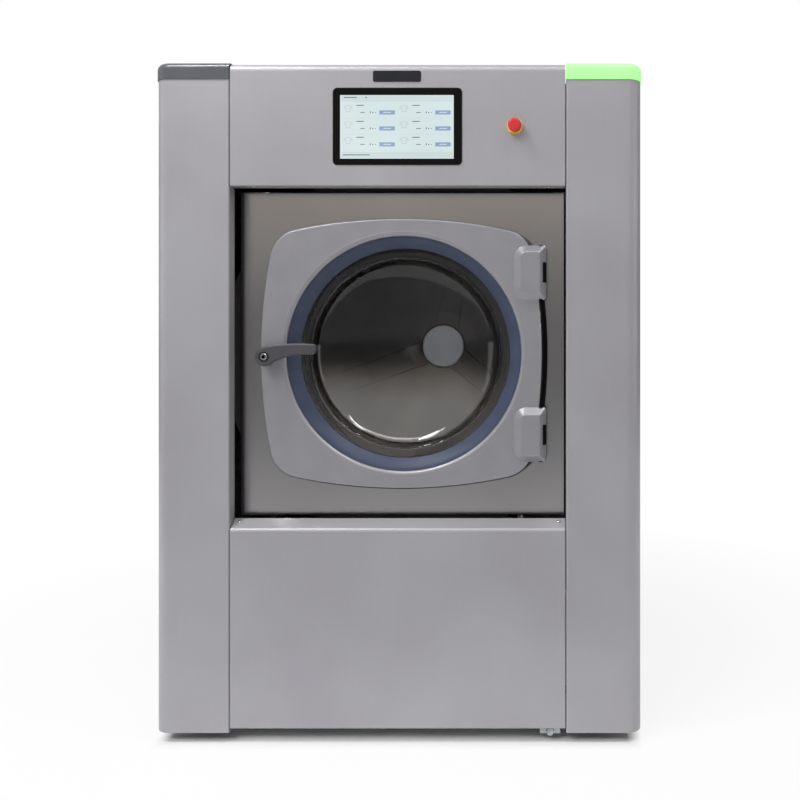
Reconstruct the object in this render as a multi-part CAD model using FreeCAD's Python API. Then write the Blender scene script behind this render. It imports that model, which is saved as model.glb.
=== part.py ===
"""Soft-mounted commercial washing machine, one solid piece per sub-part, in millimetres.

+Z is up, the front faces -Y, and the origin is on the floor under the middle of the machine.
Depths are measured backwards from the front face of the cabinet.
"""
import FreeCAD
import Part
import math
import os

# Cabinet
CABINET_WIDTH = 976.0
COLUMN_BOTTOM = 20.0
COLUMN_TOP = 1328.0
COLUMN_SIDE = 110.0
COLUMN_EDGE = 30.0
CAP_HEIGHT = 34.0
CAP_OVERHANG = 2.0
CAP_EDGE = 13.0
CAP_WALL = 3.0
OPENING_WIDTH = 674.0
OPENING_TOP = 1114.0
OPENING_BOTTOM = 446.0
HEADER_TOP = 1360.0
HEADER_BEND = 16.0
HEADER_BACK_FLANGE = 60.0
PANEL_BOTTOM = 28.0
SILL_FRONT = 426.0
SILL_DEPTH = 32.0
SILL_BEND = 10.0
SILL_LIP = 20.0
SHEET = 1.5
FOLD = 3.0
SEAM = 1.5
RETURN_DEPTH = 31.0
SIDE_FLANGE = 16.0
TOP_FLANGE = 18.0

# Frame and feet
RAIL_SIZE = 60.0
RAIL_WALL = 4.0
RAIL_BOTTOM = 24.0
CROSSBAR_DEPTH = 50.0
POST_SIZE = 50.0
POST_WALL = 3.0
FOOT_PAD_RADIUS = 30.0
FOOT_PAD_HEIGHT = 10.0
FOOT_STUD_RADIUS = 8.0
FOOT_STUD_TOP = 60.0
FOOT_NUT_RADIUS = 14.0
FOOT_NUT_HEIGHT = 9.0
FOOT_CLEARANCE = 0.4
FOOT_FRONT_DEPTH = 120.0
FOOT_REAR_INSET = 90.0
BRACKET_END_GAP = 11.5
BRACKET_WIDTH = 41.0
BRACKET_HEIGHT = 13.0
BRACKET_DEPTH = 10.0
BRACKET_SHEET = 3.0
BRACKET_BOLT_RADIUS = 8.0
BRACKET_BOLT_HEAD = 5.5
BRACKET_SHANK_RADIUS = 4.0
BRACKET_SHANK_END = 4.0

# Screen
SCREEN_WIDTH = 258.0
SCREEN_HEIGHT = 154.0
SCREEN_Z = 1233.0
SCREEN_CORNER = 9.0
SCREEN_GLASS = 4.0
SCREEN_PROUD = 1.2
SCREEN_CLEARANCE = 0.4
MODULE_FLANGE = 10.0
MODULE_FLANGE_SHEET = 3.0
MODULE_INSET = 6.0
MODULE_DEPTH = 28.0

# Emergency stop
ESTOP_X = 235.0
ESTOP_HEAD_RADIUS = 13.4
ESTOP_HEAD_LENGTH = 11.5
ESTOP_HEAD_DOME = 3.5
ESTOP_COLLAR_RADIUS = 15.6
ESTOP_COLLAR_LENGTH = 8.0
ESTOP_COLLAR_EDGE = 1.0
ESTOP_BARREL_RADIUS = 11.0
ESTOP_BARREL_LENGTH = 20.0
ESTOP_STEM_RADIUS = 8.0
ESTOP_SPIGOT_RADIUS = 5.0
ESTOP_SPIGOT_LENGTH = 8.0
ESTOP_TRAVEL = 4.0
ESTOP_SPARE = 0.5
ESTOP_BLOCK_SIZE = 34.0
ESTOP_BLOCK_LENGTH = 32.0
ESTOP_HOLE_CLEARANCE = 0.3
RUNNING_FIT = 0.05

# Tub
AXIS_X = 8.0
AXIS_Z = 778.0
TUB_PANEL_DEPTH = 62.0
TUB_PANEL_WIDTH = 671.0
TUB_PANEL_TOP = 1111.0
TUB_PANEL_BOTTOM = 443.0
TUB_PANEL_SHEET = 2.0
TUB_PANEL_FLANGE = 22.0
TUB_PANEL_BEND = 3.0
MOUTH_RADIUS = 230.0
MOUTH_WALL = 3.0
MOUTH_PROUD = 2.0
MOUTH_FLANGE = 14.0
MOUTH_EDGE = 1.0
TUB_FRONT_DEPTH = 125.0
TUB_BACK_GAP = 80.0
TUB_RADIUS = 402.0
TUB_WALL = 3.0
TUB_BACK_WALL = 5.0
TUB_CORNER = 20.0

# Drum
DRUM_RADIUS = 370.0
DRUM_WALL = 2.0
DRUM_FRONT_DEPTH = 140.0
DRUM_BACK_DEPTH = 700.0
DRUM_LIP_RADIUS = 236.0
DRUM_LIP_LENGTH = 18.0
DRUM_LIP_BEND = 8.0
DRUM_CONE = 8.0
DRUM_EDGE_BEND = 14.0
DISH_WALL = 3.0
DISH_RISE = 22.0
DISH_CENTRE_RADIUS = 95.0
DISH_RIM_WIDTH = 38.0
DISH_BEND = 20.0
DISH_ARM_WIDTH = 84.0
DISH_ARM_RISE = 9.0
DISH_ARM_EDGE = 6.0
DISH_ARM_START = 55.0
DISH_ARM_TAPER = 0.7
ARM_COUNT = 3
HUB_RADIUS = 61.0
HUB_HEIGHT = 14.0
HUB_EDGE = 6.0
LIFTER_HEIGHT = 74.0
LIFTER_BASE = 104.0
LIFTER_TOP = 34.0
LIFTER_ROUND = 14.0
LIFTER_SLOPE = 36.0
LIFTER_END_GAP = 26.0
LIFTER_SHEET = 2.0
LIFTER_COUNT = 3
LIFTER_ANGLE = 100.0

# Spider, shaft, bearings and pulleys
SPIDER_HUB_RADIUS = 62.0
SPIDER_ARM_WIDTH = 70.0
SPIDER_RIM_THICKNESS = 14.0
SPIDER_BACK_GAP = 10.0
SHAFT_FRONT_RADIUS = 40.0
SHAFT_REAR_RADIUS = 35.0
SHAFT_PULLEY_RADIUS = 30.0
SHAFT_STEP_REACH = 40.0
SHAFT_PULLEY_GAP = 4.0
SHAFT_NUT_REACH = 8.0
FRONT_BEARING_OUTER = 62.5
FRONT_BEARING_WIDTH = 22.0
FRONT_BEARING_INSET = 25.0
REAR_BEARING_OUTER = 55.0
REAR_BEARING_WIDTH = 20.0
BEARING_SPREAD = 67.0
BEARING_FIT = 0.02
SEAL_WIDTH = 12.0
HOUSING_FLANGE_RADIUS = 170.0
HOUSING_FLANGE = 12.0
HOUSING_TUBE_RADIUS = 78.0
HOUSING_SHOULDER_RADIUS = 48.0
HOUSING_END_REACH = 28.0
HOUSING_RIBS = 6
HOUSING_RIB_WIDTH = 12.0
PULLEY_RADIUS = 190.0
PULLEY_WIDTH = 40.0
PULLEY_GAP = 12.0
PULLEY_REAR_ROOM = 88.0
PULLEY_RIM = 10.0
PULLEY_WEB = 12.0
PULLEY_HUB_RADIUS = 58.0
PULLEY_WINDOWS = 5
PULLEY_WINDOW_RADIUS = 40.0
BELT_WIDTH = 30.0
BELT_THICKNESS = 6.0
BELT_GAP = 0.3
MOTOR_PULLEY_RADIUS = 40.0
MOTOR_PULLEY_FLANGE = 5.0
MOTOR_PULLEY_CHEEK = 2.0
MOTOR_X = 130.0
MOTOR_Z = 235.0
MOTOR_RADIUS = 92.0
MOTOR_LENGTH = 300.0
MOTOR_PULLEY_GAP = 20.0
MOTOR_BELL = 30.0
MOTOR_SHAFT_RADIUS = 14.0
MOTOR_SHAFT_SEAT = 40.0
MOTOR_FOOT_WIDTH = 150.0
MOTOR_FOOT_LENGTH = 110.0
MOTOR_FOOT_HEIGHT = 14.0
MOTOR_BRACKET_WALL = 10.0

# Suspension
STRUT_INSET = 46.0
STRUT_FRONT_DEPTH = 270.0
STRUT_REAR_INSET = 90.0
STRUT_SEAT_RADIUS = 36.0
STRUT_SEAT_HEIGHT = 8.0
DAMPER_RADIUS = 20.0
DAMPER_BORE = 17.0
DAMPER_TOP = 232.0
DAMPER_CAP = 8.0
ROD_RADIUS = 7.0
PISTON_HEIGHT = 20.0
PISTON_BOTTOM = 140.0
SPRING_RADIUS = 28.0
SPRING_WIRE = 8.0
SHELF_Z = 332.0
SHELF_THICKNESS = 12.0
SHELF_WIDTH = 62.0
SHELF_OVERHANG = 45.0
CRADLE_HIGH_ANGLE = 20.0
CRADLE_LOW_ANGLE = 54.0
CRADLE_RIB = 12.0
CRADLE_BITE = 60.0

# Water
HEATER_COUNT = 3
HEATER_STEP_ANGLE = 15.0
HEATER_RADIUS = 4.5
HEATER_BEND = 15.0
HEATER_FRONT_DEPTH = 260.0
HEATER_FLANGE_RADIUS = 26.0
HEATER_FLANGE = 6.0
HEATER_CLEARANCE = 0.3
DRAIN_X = -60.0
DRAIN_DEPTH = 300.0
DRAIN_RADIUS = 38.0
DRAIN_WALL = 4.0
DRAIN_BODY_RADIUS = 54.0
DRAIN_BODY_BOTTOM = 214.0
DRAIN_BODY_TOP = 316.0
DRAIN_STUB_Z = 264.0
DRAIN_STUB_DEPTH = 392.0
DRAIN_OUTLET_Z = 132.0
DRAIN_OUTLET_INSET = 50.0
DRAIN_FLANGE_RADIUS = 52.0
DRAIN_FLANGE = 4.0
DRAIN_HOSE_BEND = 120.0
DRAIN_HOSE_FALL_INSET = 340.0
DRAIN_HOSE_LOW_INSET = 180.0
REAR_REACH = 45.0
VALVE_COUNT = 3
VALVE_X = -330.0
VALVE_STEP = 50.0
VALVE_Z = 1190.0
VALVE_THREAD_RADIUS = 13.2
VALVE_FLANGE_RADIUS = 20.0
VALVE_FLANGE = 4.0
VALVE_BODY_WIDTH = 38.0
VALVE_BODY_HEIGHT = 60.0
VALVE_BODY_LENGTH = 66.0
VALVE_BORE = 9.0
VALVE_STUB_LENGTH = 24.0
FILL_HOSE_RADIUS = 9.0
FILL_HOSE_WALL = 2.5
FILL_HOSE_BEND = 60.0
FILL_HOSE_INSET = 60.0
PANEL_HOLE_CLEARANCE = 1.0

# Rear and electrics
BELT_COVER_RADIUS = 236.0
BELT_COVER_LAP = 18.0
BELT_COVER_RISE = 14.0
LOUVRE_COUNT = 7
LOUVRE_LENGTH = 180.0
LOUVRE_HEIGHT = 8.0
LOUVRE_CORNER = 3.6
LOUVRE_PITCH = 20.0
LOUVRE_X = 250.0
LOUVRE_Z = 260.0
CONTROL_BOX_X = 120.0
CONTROL_BOX_WIDTH = 270.0
CONTROL_BOX_Z = 1040.0
CONTROL_BOX_HEIGHT = 210.0
CONTROL_BOX_DEPTH = 130.0
CONTROL_BOX_WALL = 2.0
CONTROL_BOX_EDGE = 6.0
GLAND_X = 300.0
GLAND_Z = 1150.0
GLAND_RADIUS = 14.0
GLAND_DOME = 5.0
GLAND_BORE = 7.0
GLAND_REACH = 26.0
GLAND_THREAD_RADIUS = 11.0
GLAND_THREAD_LENGTH = 12.0
GLAND_NUT = 10.0
GLAND_NUT_RADIUS = 19.0

# Door
DOOR_X = 4.0
DOOR_WIDTH = 573.0
DOOR_HEIGHT = 549.0
DOOR_CORNER_X = 258.0
DOOR_CORNER_Z = 242.0
DOOR_CORNER = 66.0
DOOR_FRONT_DEPTH = 22.0
DOOR_BACK_DEPTH = 54.0
DOOR_EDGE = 5.0
DOOR_FLARE = 8.5
DOOR_FLARE_DEPTH = 50.0
DOOR_FLARE_INSET = 3.0
DOOR_HOLE_RADIUS = 245.0
DOOR_HOLE_EDGE = 3.0
DOOR_REBATE = 7.0
DOOR_REBATE_DEPTH = 28.0
GASKET_FIT = 0.3
GASKET_INNER_RADIUS = 214.0
GASKET_LIP_WIDTH = 14.0
GASKET_LIP_EDGE = 1.5
GLASS_THICKNESS = 6.0
GLASS_FLANGE_RADIUS = 226.0
GLASS_FLANGE_DEPTH = 48.0
GLASS_STEP_RADIUS = 192.0
GLASS_STEP_BEND = 8.0
GLASS_BOWL_RADIUS = 165.0
GLASS_BOWL_DEPTH = 112.0
GLASS_BOWL_BEND = 60.0
GLASS_CENTRE_DEPTH = 130.0
CLAMP_WIDTH = 14.0
CLAMP_THICKNESS = 3.0
CLAMP_LAP = 5.0

# Hinges
HINGE_X = 286.0
HINGE_DEPTH = 26.0
HINGE_SPREAD = 164.0
HINGE_BLOCK_FRONT = 8.0
HINGE_BLOCK_HEIGHT = 110.0
HINGE_BLOCK_LEFT = 232.0
HINGE_BLOCK_SLOPE = 14.0
HINGE_BLOCK_DRAFT = 13.0
HINGE_BLOCK_CORNER = 24.0
HINGE_BLOCK_EDGE = 6.0
HINGE_BLOCK_ROUND = 2.5
HINGE_EYE_RADIUS = 11.0
HINGE_EYE_HEIGHT = 40.0
HINGE_SLOT_CLEARANCE = 0.6
HINGE_PIN_RADIUS = 6.0
HINGE_ARM = 12.0
HINGE_PLATE = 4.0
HINGE_PLATE_LEFT = 262.0
HINGE_PLATE_RIGHT = 297.0
HINGE_PLATE_HEIGHT = 92.0

# Lever and lock
LEVER_X = -264.0
LEVER_DROP = 5.0
LEVER_BOSS_RADIUS = 19.5
LEVER_FRONT = -12.0
LEVER_THICKNESS = 18.0
LEVER_LENGTH = 104.0
LEVER_LIFT = 25.0
LEVER_GRIP = 22.0
LEVER_TIP_LIFT = 12.0
LEVER_CROWN_X = 62.0
LEVER_CROWN = 1.5
LEVER_HOLLOW_X = 52.0
LEVER_HOLLOW = 2.0
LEVER_TOP_ANGLE = 99.0
LEVER_NECK_ANGLE = -35.0
LEVER_EDGE = 4.0
LEVER_STANDOFF_RADIUS = 15.0
LEVER_SHAFT_RADIUS = 8.0
LEVER_SHAFT_END = 108.0
LEVER_GROOVE_RADIUS = 5.5
LEVER_GROOVE_DEPTH = 90.0
LEVER_GROOVE_WIDTH = 7.0
LEVER_GAP = 0.4
LOCK_HOLE_RADIUS = 15.0
LOCK_WIDTH = 37.0
LOCK_TOP = 112.0
LOCK_BOTTOM = 34.0
LOCK_LENGTH = 50.0
LOCK_EDGE = 5.0
BOLT_WIDTH = 28.0
BOLT_THICKNESS = 6.0
BOLT_HEIGHT = 66.0
BOLT_TRAVEL = 20.0
BOLT_START = 10.0
BOLT_SLOT_CLEARANCE = 0.5
BOLT_FIT = 0.2

# Places worked out from the sizes above
TUB_BACK_DEPTH = DRUM_BACK_DEPTH + TUB_BACK_GAP
SPIDER_HUB_REAR = TUB_BACK_DEPTH - TUB_BACK_WALL - SPIDER_BACK_GAP
FRONT_BEARING_DEPTH = TUB_BACK_DEPTH + FRONT_BEARING_INSET
REAR_BEARING_DEPTH = FRONT_BEARING_DEPTH + BEARING_SPREAD
HOUSING_END_DEPTH = REAR_BEARING_DEPTH + HOUSING_END_REACH
PULLEY_DEPTH = HOUSING_END_DEPTH + PULLEY_GAP
SHAFT_STEP = FRONT_BEARING_DEPTH + SHAFT_STEP_REACH
SHAFT_PULLEY_STEP = PULLEY_DEPTH - SHAFT_PULLEY_GAP
MOTOR_REAR_DEPTH = PULLEY_DEPTH - MOTOR_PULLEY_GAP
CABINET_DEPTH = PULLEY_DEPTH + PULLEY_WIDTH + PULLEY_REAR_ROOM
FOOT_REAR_DEPTH = CABINET_DEPTH - FOOT_REAR_INSET
STRUT_REAR_DEPTH = TUB_BACK_DEPTH - STRUT_REAR_INSET
FILL_HOSE_DEPTH = TUB_BACK_DEPTH - FILL_HOSE_INSET
DRAIN_OUTLET_START = CABINET_DEPTH - DRAIN_OUTLET_INSET
DRAIN_HOSE_FALL_DEPTH = CABINET_DEPTH - DRAIN_HOSE_FALL_INSET
DRAIN_HOSE_LOW_DEPTH = CABINET_DEPTH - DRAIN_HOSE_LOW_INSET
CABINET_HALF = CABINET_WIDTH / 2
OPENING_HALF = OPENING_WIDTH / 2
BRACKET_X = OPENING_HALF - BRACKET_END_GAP - BRACKET_WIDTH / 2
ESTOP_REACH = ESTOP_COLLAR_LENGTH + ESTOP_TRAVEL + ESTOP_SPARE + ESTOP_HEAD_LENGTH
FRONT_Y = (ESTOP_REACH - CABINET_DEPTH - REAR_REACH) / 2
RAIL_OUT = CABINET_HALF - SHEET
RAIL_IN = RAIL_OUT - RAIL_SIZE
RAIL_TOP = RAIL_BOTTOM + RAIL_SIZE
FRAME_FRONT = RETURN_DEPTH
FRAME_REAR = CABINET_DEPTH - 2 * SHEET
FRAME_TOP = COLUMN_TOP - SHEET
STRUT_X = RAIL_OUT - STRUT_INSET
TUB_OUTER = TUB_RADIUS + TUB_WALL
DRUM_INNER = DRUM_RADIUS - DRUM_WALL
DISH_CENTRE_DEPTH = DRUM_BACK_DEPTH - DISH_WALL - DISH_RISE
BELT_MIDDLE = PULLEY_DEPTH + PULLEY_WIDTH / 2
LEVER_Z = AXIS_Z - LEVER_DROP
UP = FreeCAD.Vector(0, 0, 1)
BACK = FreeCAD.Vector(0, 1, 0)
RIGHT = FreeCAD.Vector(1, 0, 0)
NEAR = 1e-4


def at(x, depth, z):
    """Point at a depth behind the front of the cabinet."""
    return FreeCAD.Vector(x, FRONT_Y + depth, z)


def front_plane(depth):
    """Drawing plane with u along X and v along Z."""
    return lambda u, v: at(u, depth, v)


def side_plane(x):
    """Drawing plane with u along the depth and v along Z."""
    return lambda u, v: at(x, u, v)


def floor_plane(z):
    """Drawing plane with u along X and v along the depth."""
    return lambda u, v: at(u, v, z)


def drum_plane(radius, depth):
    """Drawing plane for what turns about the drum axis."""
    return at(AXIS_X + radius, depth, AXIS_Z)


def rounded_edges(points, place, closed=True):
    """Straight runs through points (u, v, radius), with an arc of that radius at each corner."""
    corners = []
    for index, point in enumerate(points):
        radius = point[2] if len(point) > 2 else 0.0
        is_end = not closed and index in (0, len(points) - 1)
        if radius <= 0 or is_end:
            corners.append([place(point[0], point[1])])
            continue
        before = points[index - 1]
        after = points[(index + 1) % len(points)]
        to_before = FreeCAD.Vector(before[0] - point[0], before[1] - point[1], 0).normalize()
        to_after = FreeCAD.Vector(after[0] - point[0], after[1] - point[1], 0).normalize()
        half = to_before.getAngle(to_after) / 2
        middle = (to_before + to_after).normalize()
        tangent = radius / math.tan(half)
        spots = [
            to_before * tangent,
            middle * (radius / math.sin(half) - radius),
            to_after * tangent,
        ]
        corners.append([place(point[0] + spot.x, point[1] + spot.y) for spot in spots])
    edges = []
    for index, corner in enumerate(corners):
        if len(corner) == 3:
            edges.append(Part.Arc(*corner).toShape())
        if index + 1 < len(corners) or closed:
            following = corners[(index + 1) % len(corners)]
            if corner[-1].distanceToPoint(following[0]) > NEAR:
                edges.append(Part.LineSegment(corner[-1], following[0]).toShape())
    return edges


def face(points, place):
    return Part.Face(Part.Wire(rounded_edges(points, place)))


def sheet_face(points, thickness, place):
    """Section of a bent sheet: a line of bends thickened to its left, or to its right if negative."""
    runs = []
    for start, end in zip(points, points[1:]):
        runs.append(FreeCAD.Vector(end[0] - start[0], end[1] - start[1], 0).normalize())
    normals = [FreeCAD.Vector(-run.y, run.x, 0) for run in runs]
    inner = []
    for index, point in enumerate(points):
        before = normals[max(index - 1, 0)]
        after = normals[min(index, len(normals) - 1)]
        step = (before + after) * (thickness / (1 + before.dot(after)))
        radius = point[2] if len(point) > 2 else 0.0
        if radius > 0:
            turn = runs[index - 1].cross(runs[index]).z
            radius -= math.copysign(abs(thickness), turn * thickness)
        inner.append((point[0] + step.x, point[1] + step.y, radius))
    return face(list(points) + inner[::-1], place)


def box(x_range, depth_range, z_range):
    x0, x1 = sorted(x_range)
    d0, d1 = sorted(depth_range)
    z0, z1 = sorted(z_range)
    return Part.makeBox(x1 - x0, d1 - d0, z1 - z0, at(x0, d0, z0))


def rod_back(x, z, radius, start, end):
    """Round bar from one depth to another."""
    return Part.makeCylinder(radius, end - start, at(x, start, z), BACK)


def rod_up(x, depth, radius, bottom, top):
    return Part.makeCylinder(radius, top - bottom, at(x, depth, bottom), UP)


def hexagon_back(x, z, radius, start, end):
    points = [
        (x + radius * math.cos(math.radians(60 * k)), z + radius * math.sin(math.radians(60 * k)))
        for k in range(6)
    ]
    return face(points, front_plane(start)).extrude(BACK * (end - start))


def hexagon_up(x, depth, radius, bottom, top):
    points = [
        (x + radius * math.cos(math.radians(60 * k)), depth + radius * math.sin(math.radians(60 * k)))
        for k in range(6)
    ]
    return face(points, floor_plane(bottom)).extrude(UP * (top - bottom))


def turned(section):
    """Solid of revolution about the drum axis."""
    return section.revolve(at(AXIS_X, 0, AXIS_Z), BACK, 360)


def turned_points(points):
    return turned(face(points, drum_plane))


def round_the_drum(shape, angle):
    """Copy of a shape turned about the drum axis."""
    copy = shape.copy()
    copy.rotate(at(AXIS_X, 0, AXIS_Z), BACK, angle)
    return copy


def ring_of(shape, count, first_angle=0.0):
    """Equally spaced copies of a shape round the drum axis."""
    return [round_the_drum(shape, first_angle + 360.0 / count * k) for k in range(count)]


def mirrored(shape):
    return shape.mirror(FreeCAD.Vector(0, 0, 0), RIGHT)


def joined(shapes):
    return shapes[0].multiFuse(shapes[1:]).removeSplitter()


def rounded_rectangle(width, height, corner, x, z):
    half_w = width / 2
    half_h = height / 2
    return [
        (x - half_w, z - half_h, corner),
        (x + half_w, z - half_h, corner),
        (x + half_w, z + half_h, corner),
        (x - half_w, z + half_h, corner),
    ]


def tube(path_points, place, radius, wall):
    """Hose of straight runs and tangent arcs."""
    path = Part.Wire(rounded_edges(path_points, place, closed=False))
    start = path.Edges[0]
    heading = start.tangentAt(start.FirstParameter)
    origin = start.valueAt(start.FirstParameter)
    walls = []
    for size in (radius, radius - wall):
        ring = Part.Wire(Part.makeCircle(size, origin, heading))
        walls.append(path.makePipeShell([ring], True, False))
    return walls[0].cut(walls[1])


def base_rails():
    rails = []
    for side in (-1, 1):
        depths = (FRAME_FRONT, FRAME_REAR - FOLD)
        outside = box((side * RAIL_IN, side * RAIL_OUT), depths, (RAIL_BOTTOM, RAIL_TOP))
        inside = box(
            (side * (RAIL_IN + RAIL_WALL), side * (RAIL_OUT - RAIL_WALL)),
            depths,
            (RAIL_BOTTOM + RAIL_WALL, RAIL_TOP - RAIL_WALL),
        )
        rail = outside.cut(inside)
        for x, depth in foot_places(side):
            hole = FOOT_STUD_RADIUS + FOOT_CLEARANCE
            rail = rail.cut(rod_up(x, depth, hole, RAIL_BOTTOM, RAIL_BOTTOM + RAIL_WALL))
        rails.append(rail)
    return rails


def foot_places(side):
    x = side * (RAIL_IN + RAIL_OUT) / 2
    return [(x, FOOT_FRONT_DEPTH), (x, FOOT_REAR_DEPTH)]


def base_crossbars():
    bars = []
    for start in (FRAME_FRONT, FRAME_REAR - CROSSBAR_DEPTH):
        width = (-RAIL_IN, RAIL_IN)
        outside = box(width, (start, start + CROSSBAR_DEPTH), (RAIL_BOTTOM, RAIL_TOP))
        inside = box(
            width,
            (start + RAIL_WALL, start + CROSSBAR_DEPTH - RAIL_WALL),
            (RAIL_BOTTOM + RAIL_WALL, RAIL_TOP - RAIL_WALL),
        )
        bars.append(outside.cut(inside))
    return bars


def levelling_feet():
    feet = []
    for side in (-1, 1):
        for x, depth in foot_places(side):
            pad = rod_up(x, depth, FOOT_PAD_RADIUS, 0, FOOT_PAD_HEIGHT)
            pad = pad.makeChamfer(FOOT_PAD_HEIGHT / 3, [top_edge(pad)])
            stud = rod_up(x, depth, FOOT_STUD_RADIUS, 0, FOOT_STUD_TOP)
            nut = hexagon_up(x, depth, FOOT_NUT_RADIUS, RAIL_BOTTOM - FOOT_NUT_HEIGHT, RAIL_BOTTOM)
            feet.append(joined([pad, stud, nut]))
    return feet


def top_edge(shape):
    return max(shape.Edges, key=lambda edge: edge.CenterOfMass.z)


def upper_frame():
    """Welded tubes: four posts that stand on the base, and a ring that carries the top panel."""
    post_x = (RAIL_IN - POST_SIZE / 2, RAIL_IN + POST_SIZE / 2)
    front = (FRAME_FRONT, FRAME_FRONT + POST_SIZE)
    rear = (FRAME_REAR - POST_SIZE, FRAME_REAR)
    ring = (FRAME_TOP - POST_SIZE, FRAME_TOP)
    wall = POST_WALL
    solids = []
    hollows = []
    for side in (-1, 1):
        x_out = [side * x for x in post_x]
        x_in = [side * (post_x[0] + wall), side * (post_x[1] - wall)]
        for span in (front, rear):
            solids.append(box(x_out, span, (RAIL_TOP, FRAME_TOP)))
            hollows.append(box(x_in, (span[0] + wall, span[1] - wall), (RAIL_TOP, FRAME_TOP - wall)))
        solids.append(box(x_out, (front[0], rear[1]), ring))
        hollows.append(box(x_in, (front[0] + wall, rear[1] - wall), (ring[0] + wall, ring[1] - wall)))
    for span in (front, rear):
        solids.append(box((-post_x[1], post_x[1]), span, ring))
        hollows.append(
            box(
                (wall - post_x[1], post_x[1] - wall),
                (span[0] + wall, span[1] - wall),
                (ring[0] + wall, ring[1] - wall),
            )
        )
    return joined(solids).cut(joined(hollows))


def right_column():
    line = [
        (OPENING_HALF, RETURN_DEPTH),
        (OPENING_HALF, 0, FOLD),
        (CABINET_HALF, 0, COLUMN_EDGE),
        (CABINET_HALF, COLUMN_SIDE),
    ]
    section = sheet_face(line, SHEET, floor_plane(COLUMN_BOTTOM))
    return section.extrude(UP * (COLUMN_TOP - COLUMN_BOTTOM))


def cap_block(inset, height):
    """Outer or inner form of a column cap, with its front and outer top edges rounded."""
    outer = CABINET_HALF + CAP_OVERHANG - inset
    inner = OPENING_HALF + inset
    front = inset - CAP_OVERHANG
    outline = [
        (inner, front),
        (outer, front, COLUMN_EDGE + CAP_OVERHANG - inset),
        (outer, COLUMN_SIDE - inset),
        (inner, COLUMN_SIDE - inset),
    ]
    block = face(outline, floor_plane(COLUMN_TOP)).extrude(UP * height)
    rear = FRONT_Y + COLUMN_SIDE - inset
    edges = []
    for edge in block.Edges:
        centre = edge.CenterOfMass
        is_top = abs(centre.z - COLUMN_TOP - height) < NEAR and edge.BoundBox.ZLength < NEAR
        is_show = centre.x > inner + NEAR and centre.y < rear - NEAR
        if is_top and is_show:
            edges.append(edge)
    return block.makeFillet(CAP_EDGE - inset, edges)


def right_cap():
    return cap_block(0.0, CAP_HEIGHT).cut(cap_block(CAP_WALL, CAP_HEIGHT - CAP_WALL))


def header_panel():
    line = [
        (RETURN_DEPTH, OPENING_TOP),
        (0, OPENING_TOP, FOLD),
        (0, HEADER_TOP, HEADER_BEND),
        (COLUMN_SIDE, HEADER_TOP, FOLD),
        (COLUMN_SIDE, HEADER_TOP - HEADER_BACK_FLANGE),
    ]
    half = OPENING_HALF - SEAM
    panel = sheet_face(line, -SHEET, side_plane(-half)).extrude(RIGHT * (2 * half))
    cut_out = screen_outline(SCREEN_CLEARANCE, 0).extrude(BACK * SHEET)
    hole = rod_back(ESTOP_X, SCREEN_Z, ESTOP_BARREL_RADIUS + ESTOP_HOLE_CLEARANCE, 0, SHEET)
    return panel.cut(cut_out).cut(hole)


def screen_outline(margin, depth):
    width = SCREEN_WIDTH + 2 * margin
    height = SCREEN_HEIGHT + 2 * margin
    points = rounded_rectangle(width, height, SCREEN_CORNER + margin, 0, SCREEN_Z)
    return face(points, front_plane(depth))


def display_glass():
    return screen_outline(0, -SCREEN_PROUD).extrude(BACK * SCREEN_GLASS)


def display_module():
    """Screen housing: a flange behind the header, a pocket for the glass, and a box behind it."""
    flange = screen_outline(MODULE_FLANGE, SHEET).extrude(BACK * MODULE_FLANGE_SHEET)
    body = screen_outline(-MODULE_INSET, SHEET).extrude(BACK * (MODULE_DEPTH - SHEET))
    pocket = screen_outline(SCREEN_CLEARANCE, SHEET).extrude(BACK * (SCREEN_GLASS - SCREEN_PROUD - SHEET))
    return joined([flange, body]).cut(pocket)


def estop_plane(radius, depth):
    return at(ESTOP_X + radius, depth, SCREEN_Z)


def estop_turned(points):
    return face(points, estop_plane).revolve(at(ESTOP_X, 0, SCREEN_Z), BACK, 360)


def estop_collar():
    bore = ESTOP_STEM_RADIUS + RUNNING_FIT
    return estop_turned(
        [
            (bore, -ESTOP_COLLAR_LENGTH),
            (ESTOP_COLLAR_RADIUS, -ESTOP_COLLAR_LENGTH, ESTOP_COLLAR_EDGE),
            (ESTOP_COLLAR_RADIUS, 0),
            (ESTOP_BARREL_RADIUS, 0),
            (ESTOP_BARREL_RADIUS, ESTOP_BARREL_LENGTH),
            (bore, ESTOP_BARREL_LENGTH),
        ]
    )


def estop_contact_block():
    half = ESTOP_BLOCK_SIZE / 2
    end = ESTOP_BARREL_LENGTH + ESTOP_BLOCK_LENGTH
    block = box(
        (ESTOP_X - half, ESTOP_X + half),
        (ESTOP_BARREL_LENGTH, end),
        (SCREEN_Z - half, SCREEN_Z + half),
    )
    room = ESTOP_BARREL_LENGTH + 2 * ESTOP_TRAVEL
    return block.cut(rod_back(ESTOP_X, SCREEN_Z, ESTOP_BARREL_RADIUS, ESTOP_BARREL_LENGTH, room))


def estop_head_back():
    return -(ESTOP_COLLAR_LENGTH + ESTOP_TRAVEL + ESTOP_SPARE)


def estop_stem():
    shoulder = estop_head_back()
    end = ESTOP_BARREL_LENGTH
    thick = rod_back(ESTOP_X, SCREEN_Z, ESTOP_STEM_RADIUS, shoulder, end)
    spigot = rod_back(ESTOP_X, SCREEN_Z, ESTOP_SPIGOT_RADIUS, shoulder - ESTOP_SPIGOT_LENGTH, shoulder)
    return joined([thick, spigot])


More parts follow.
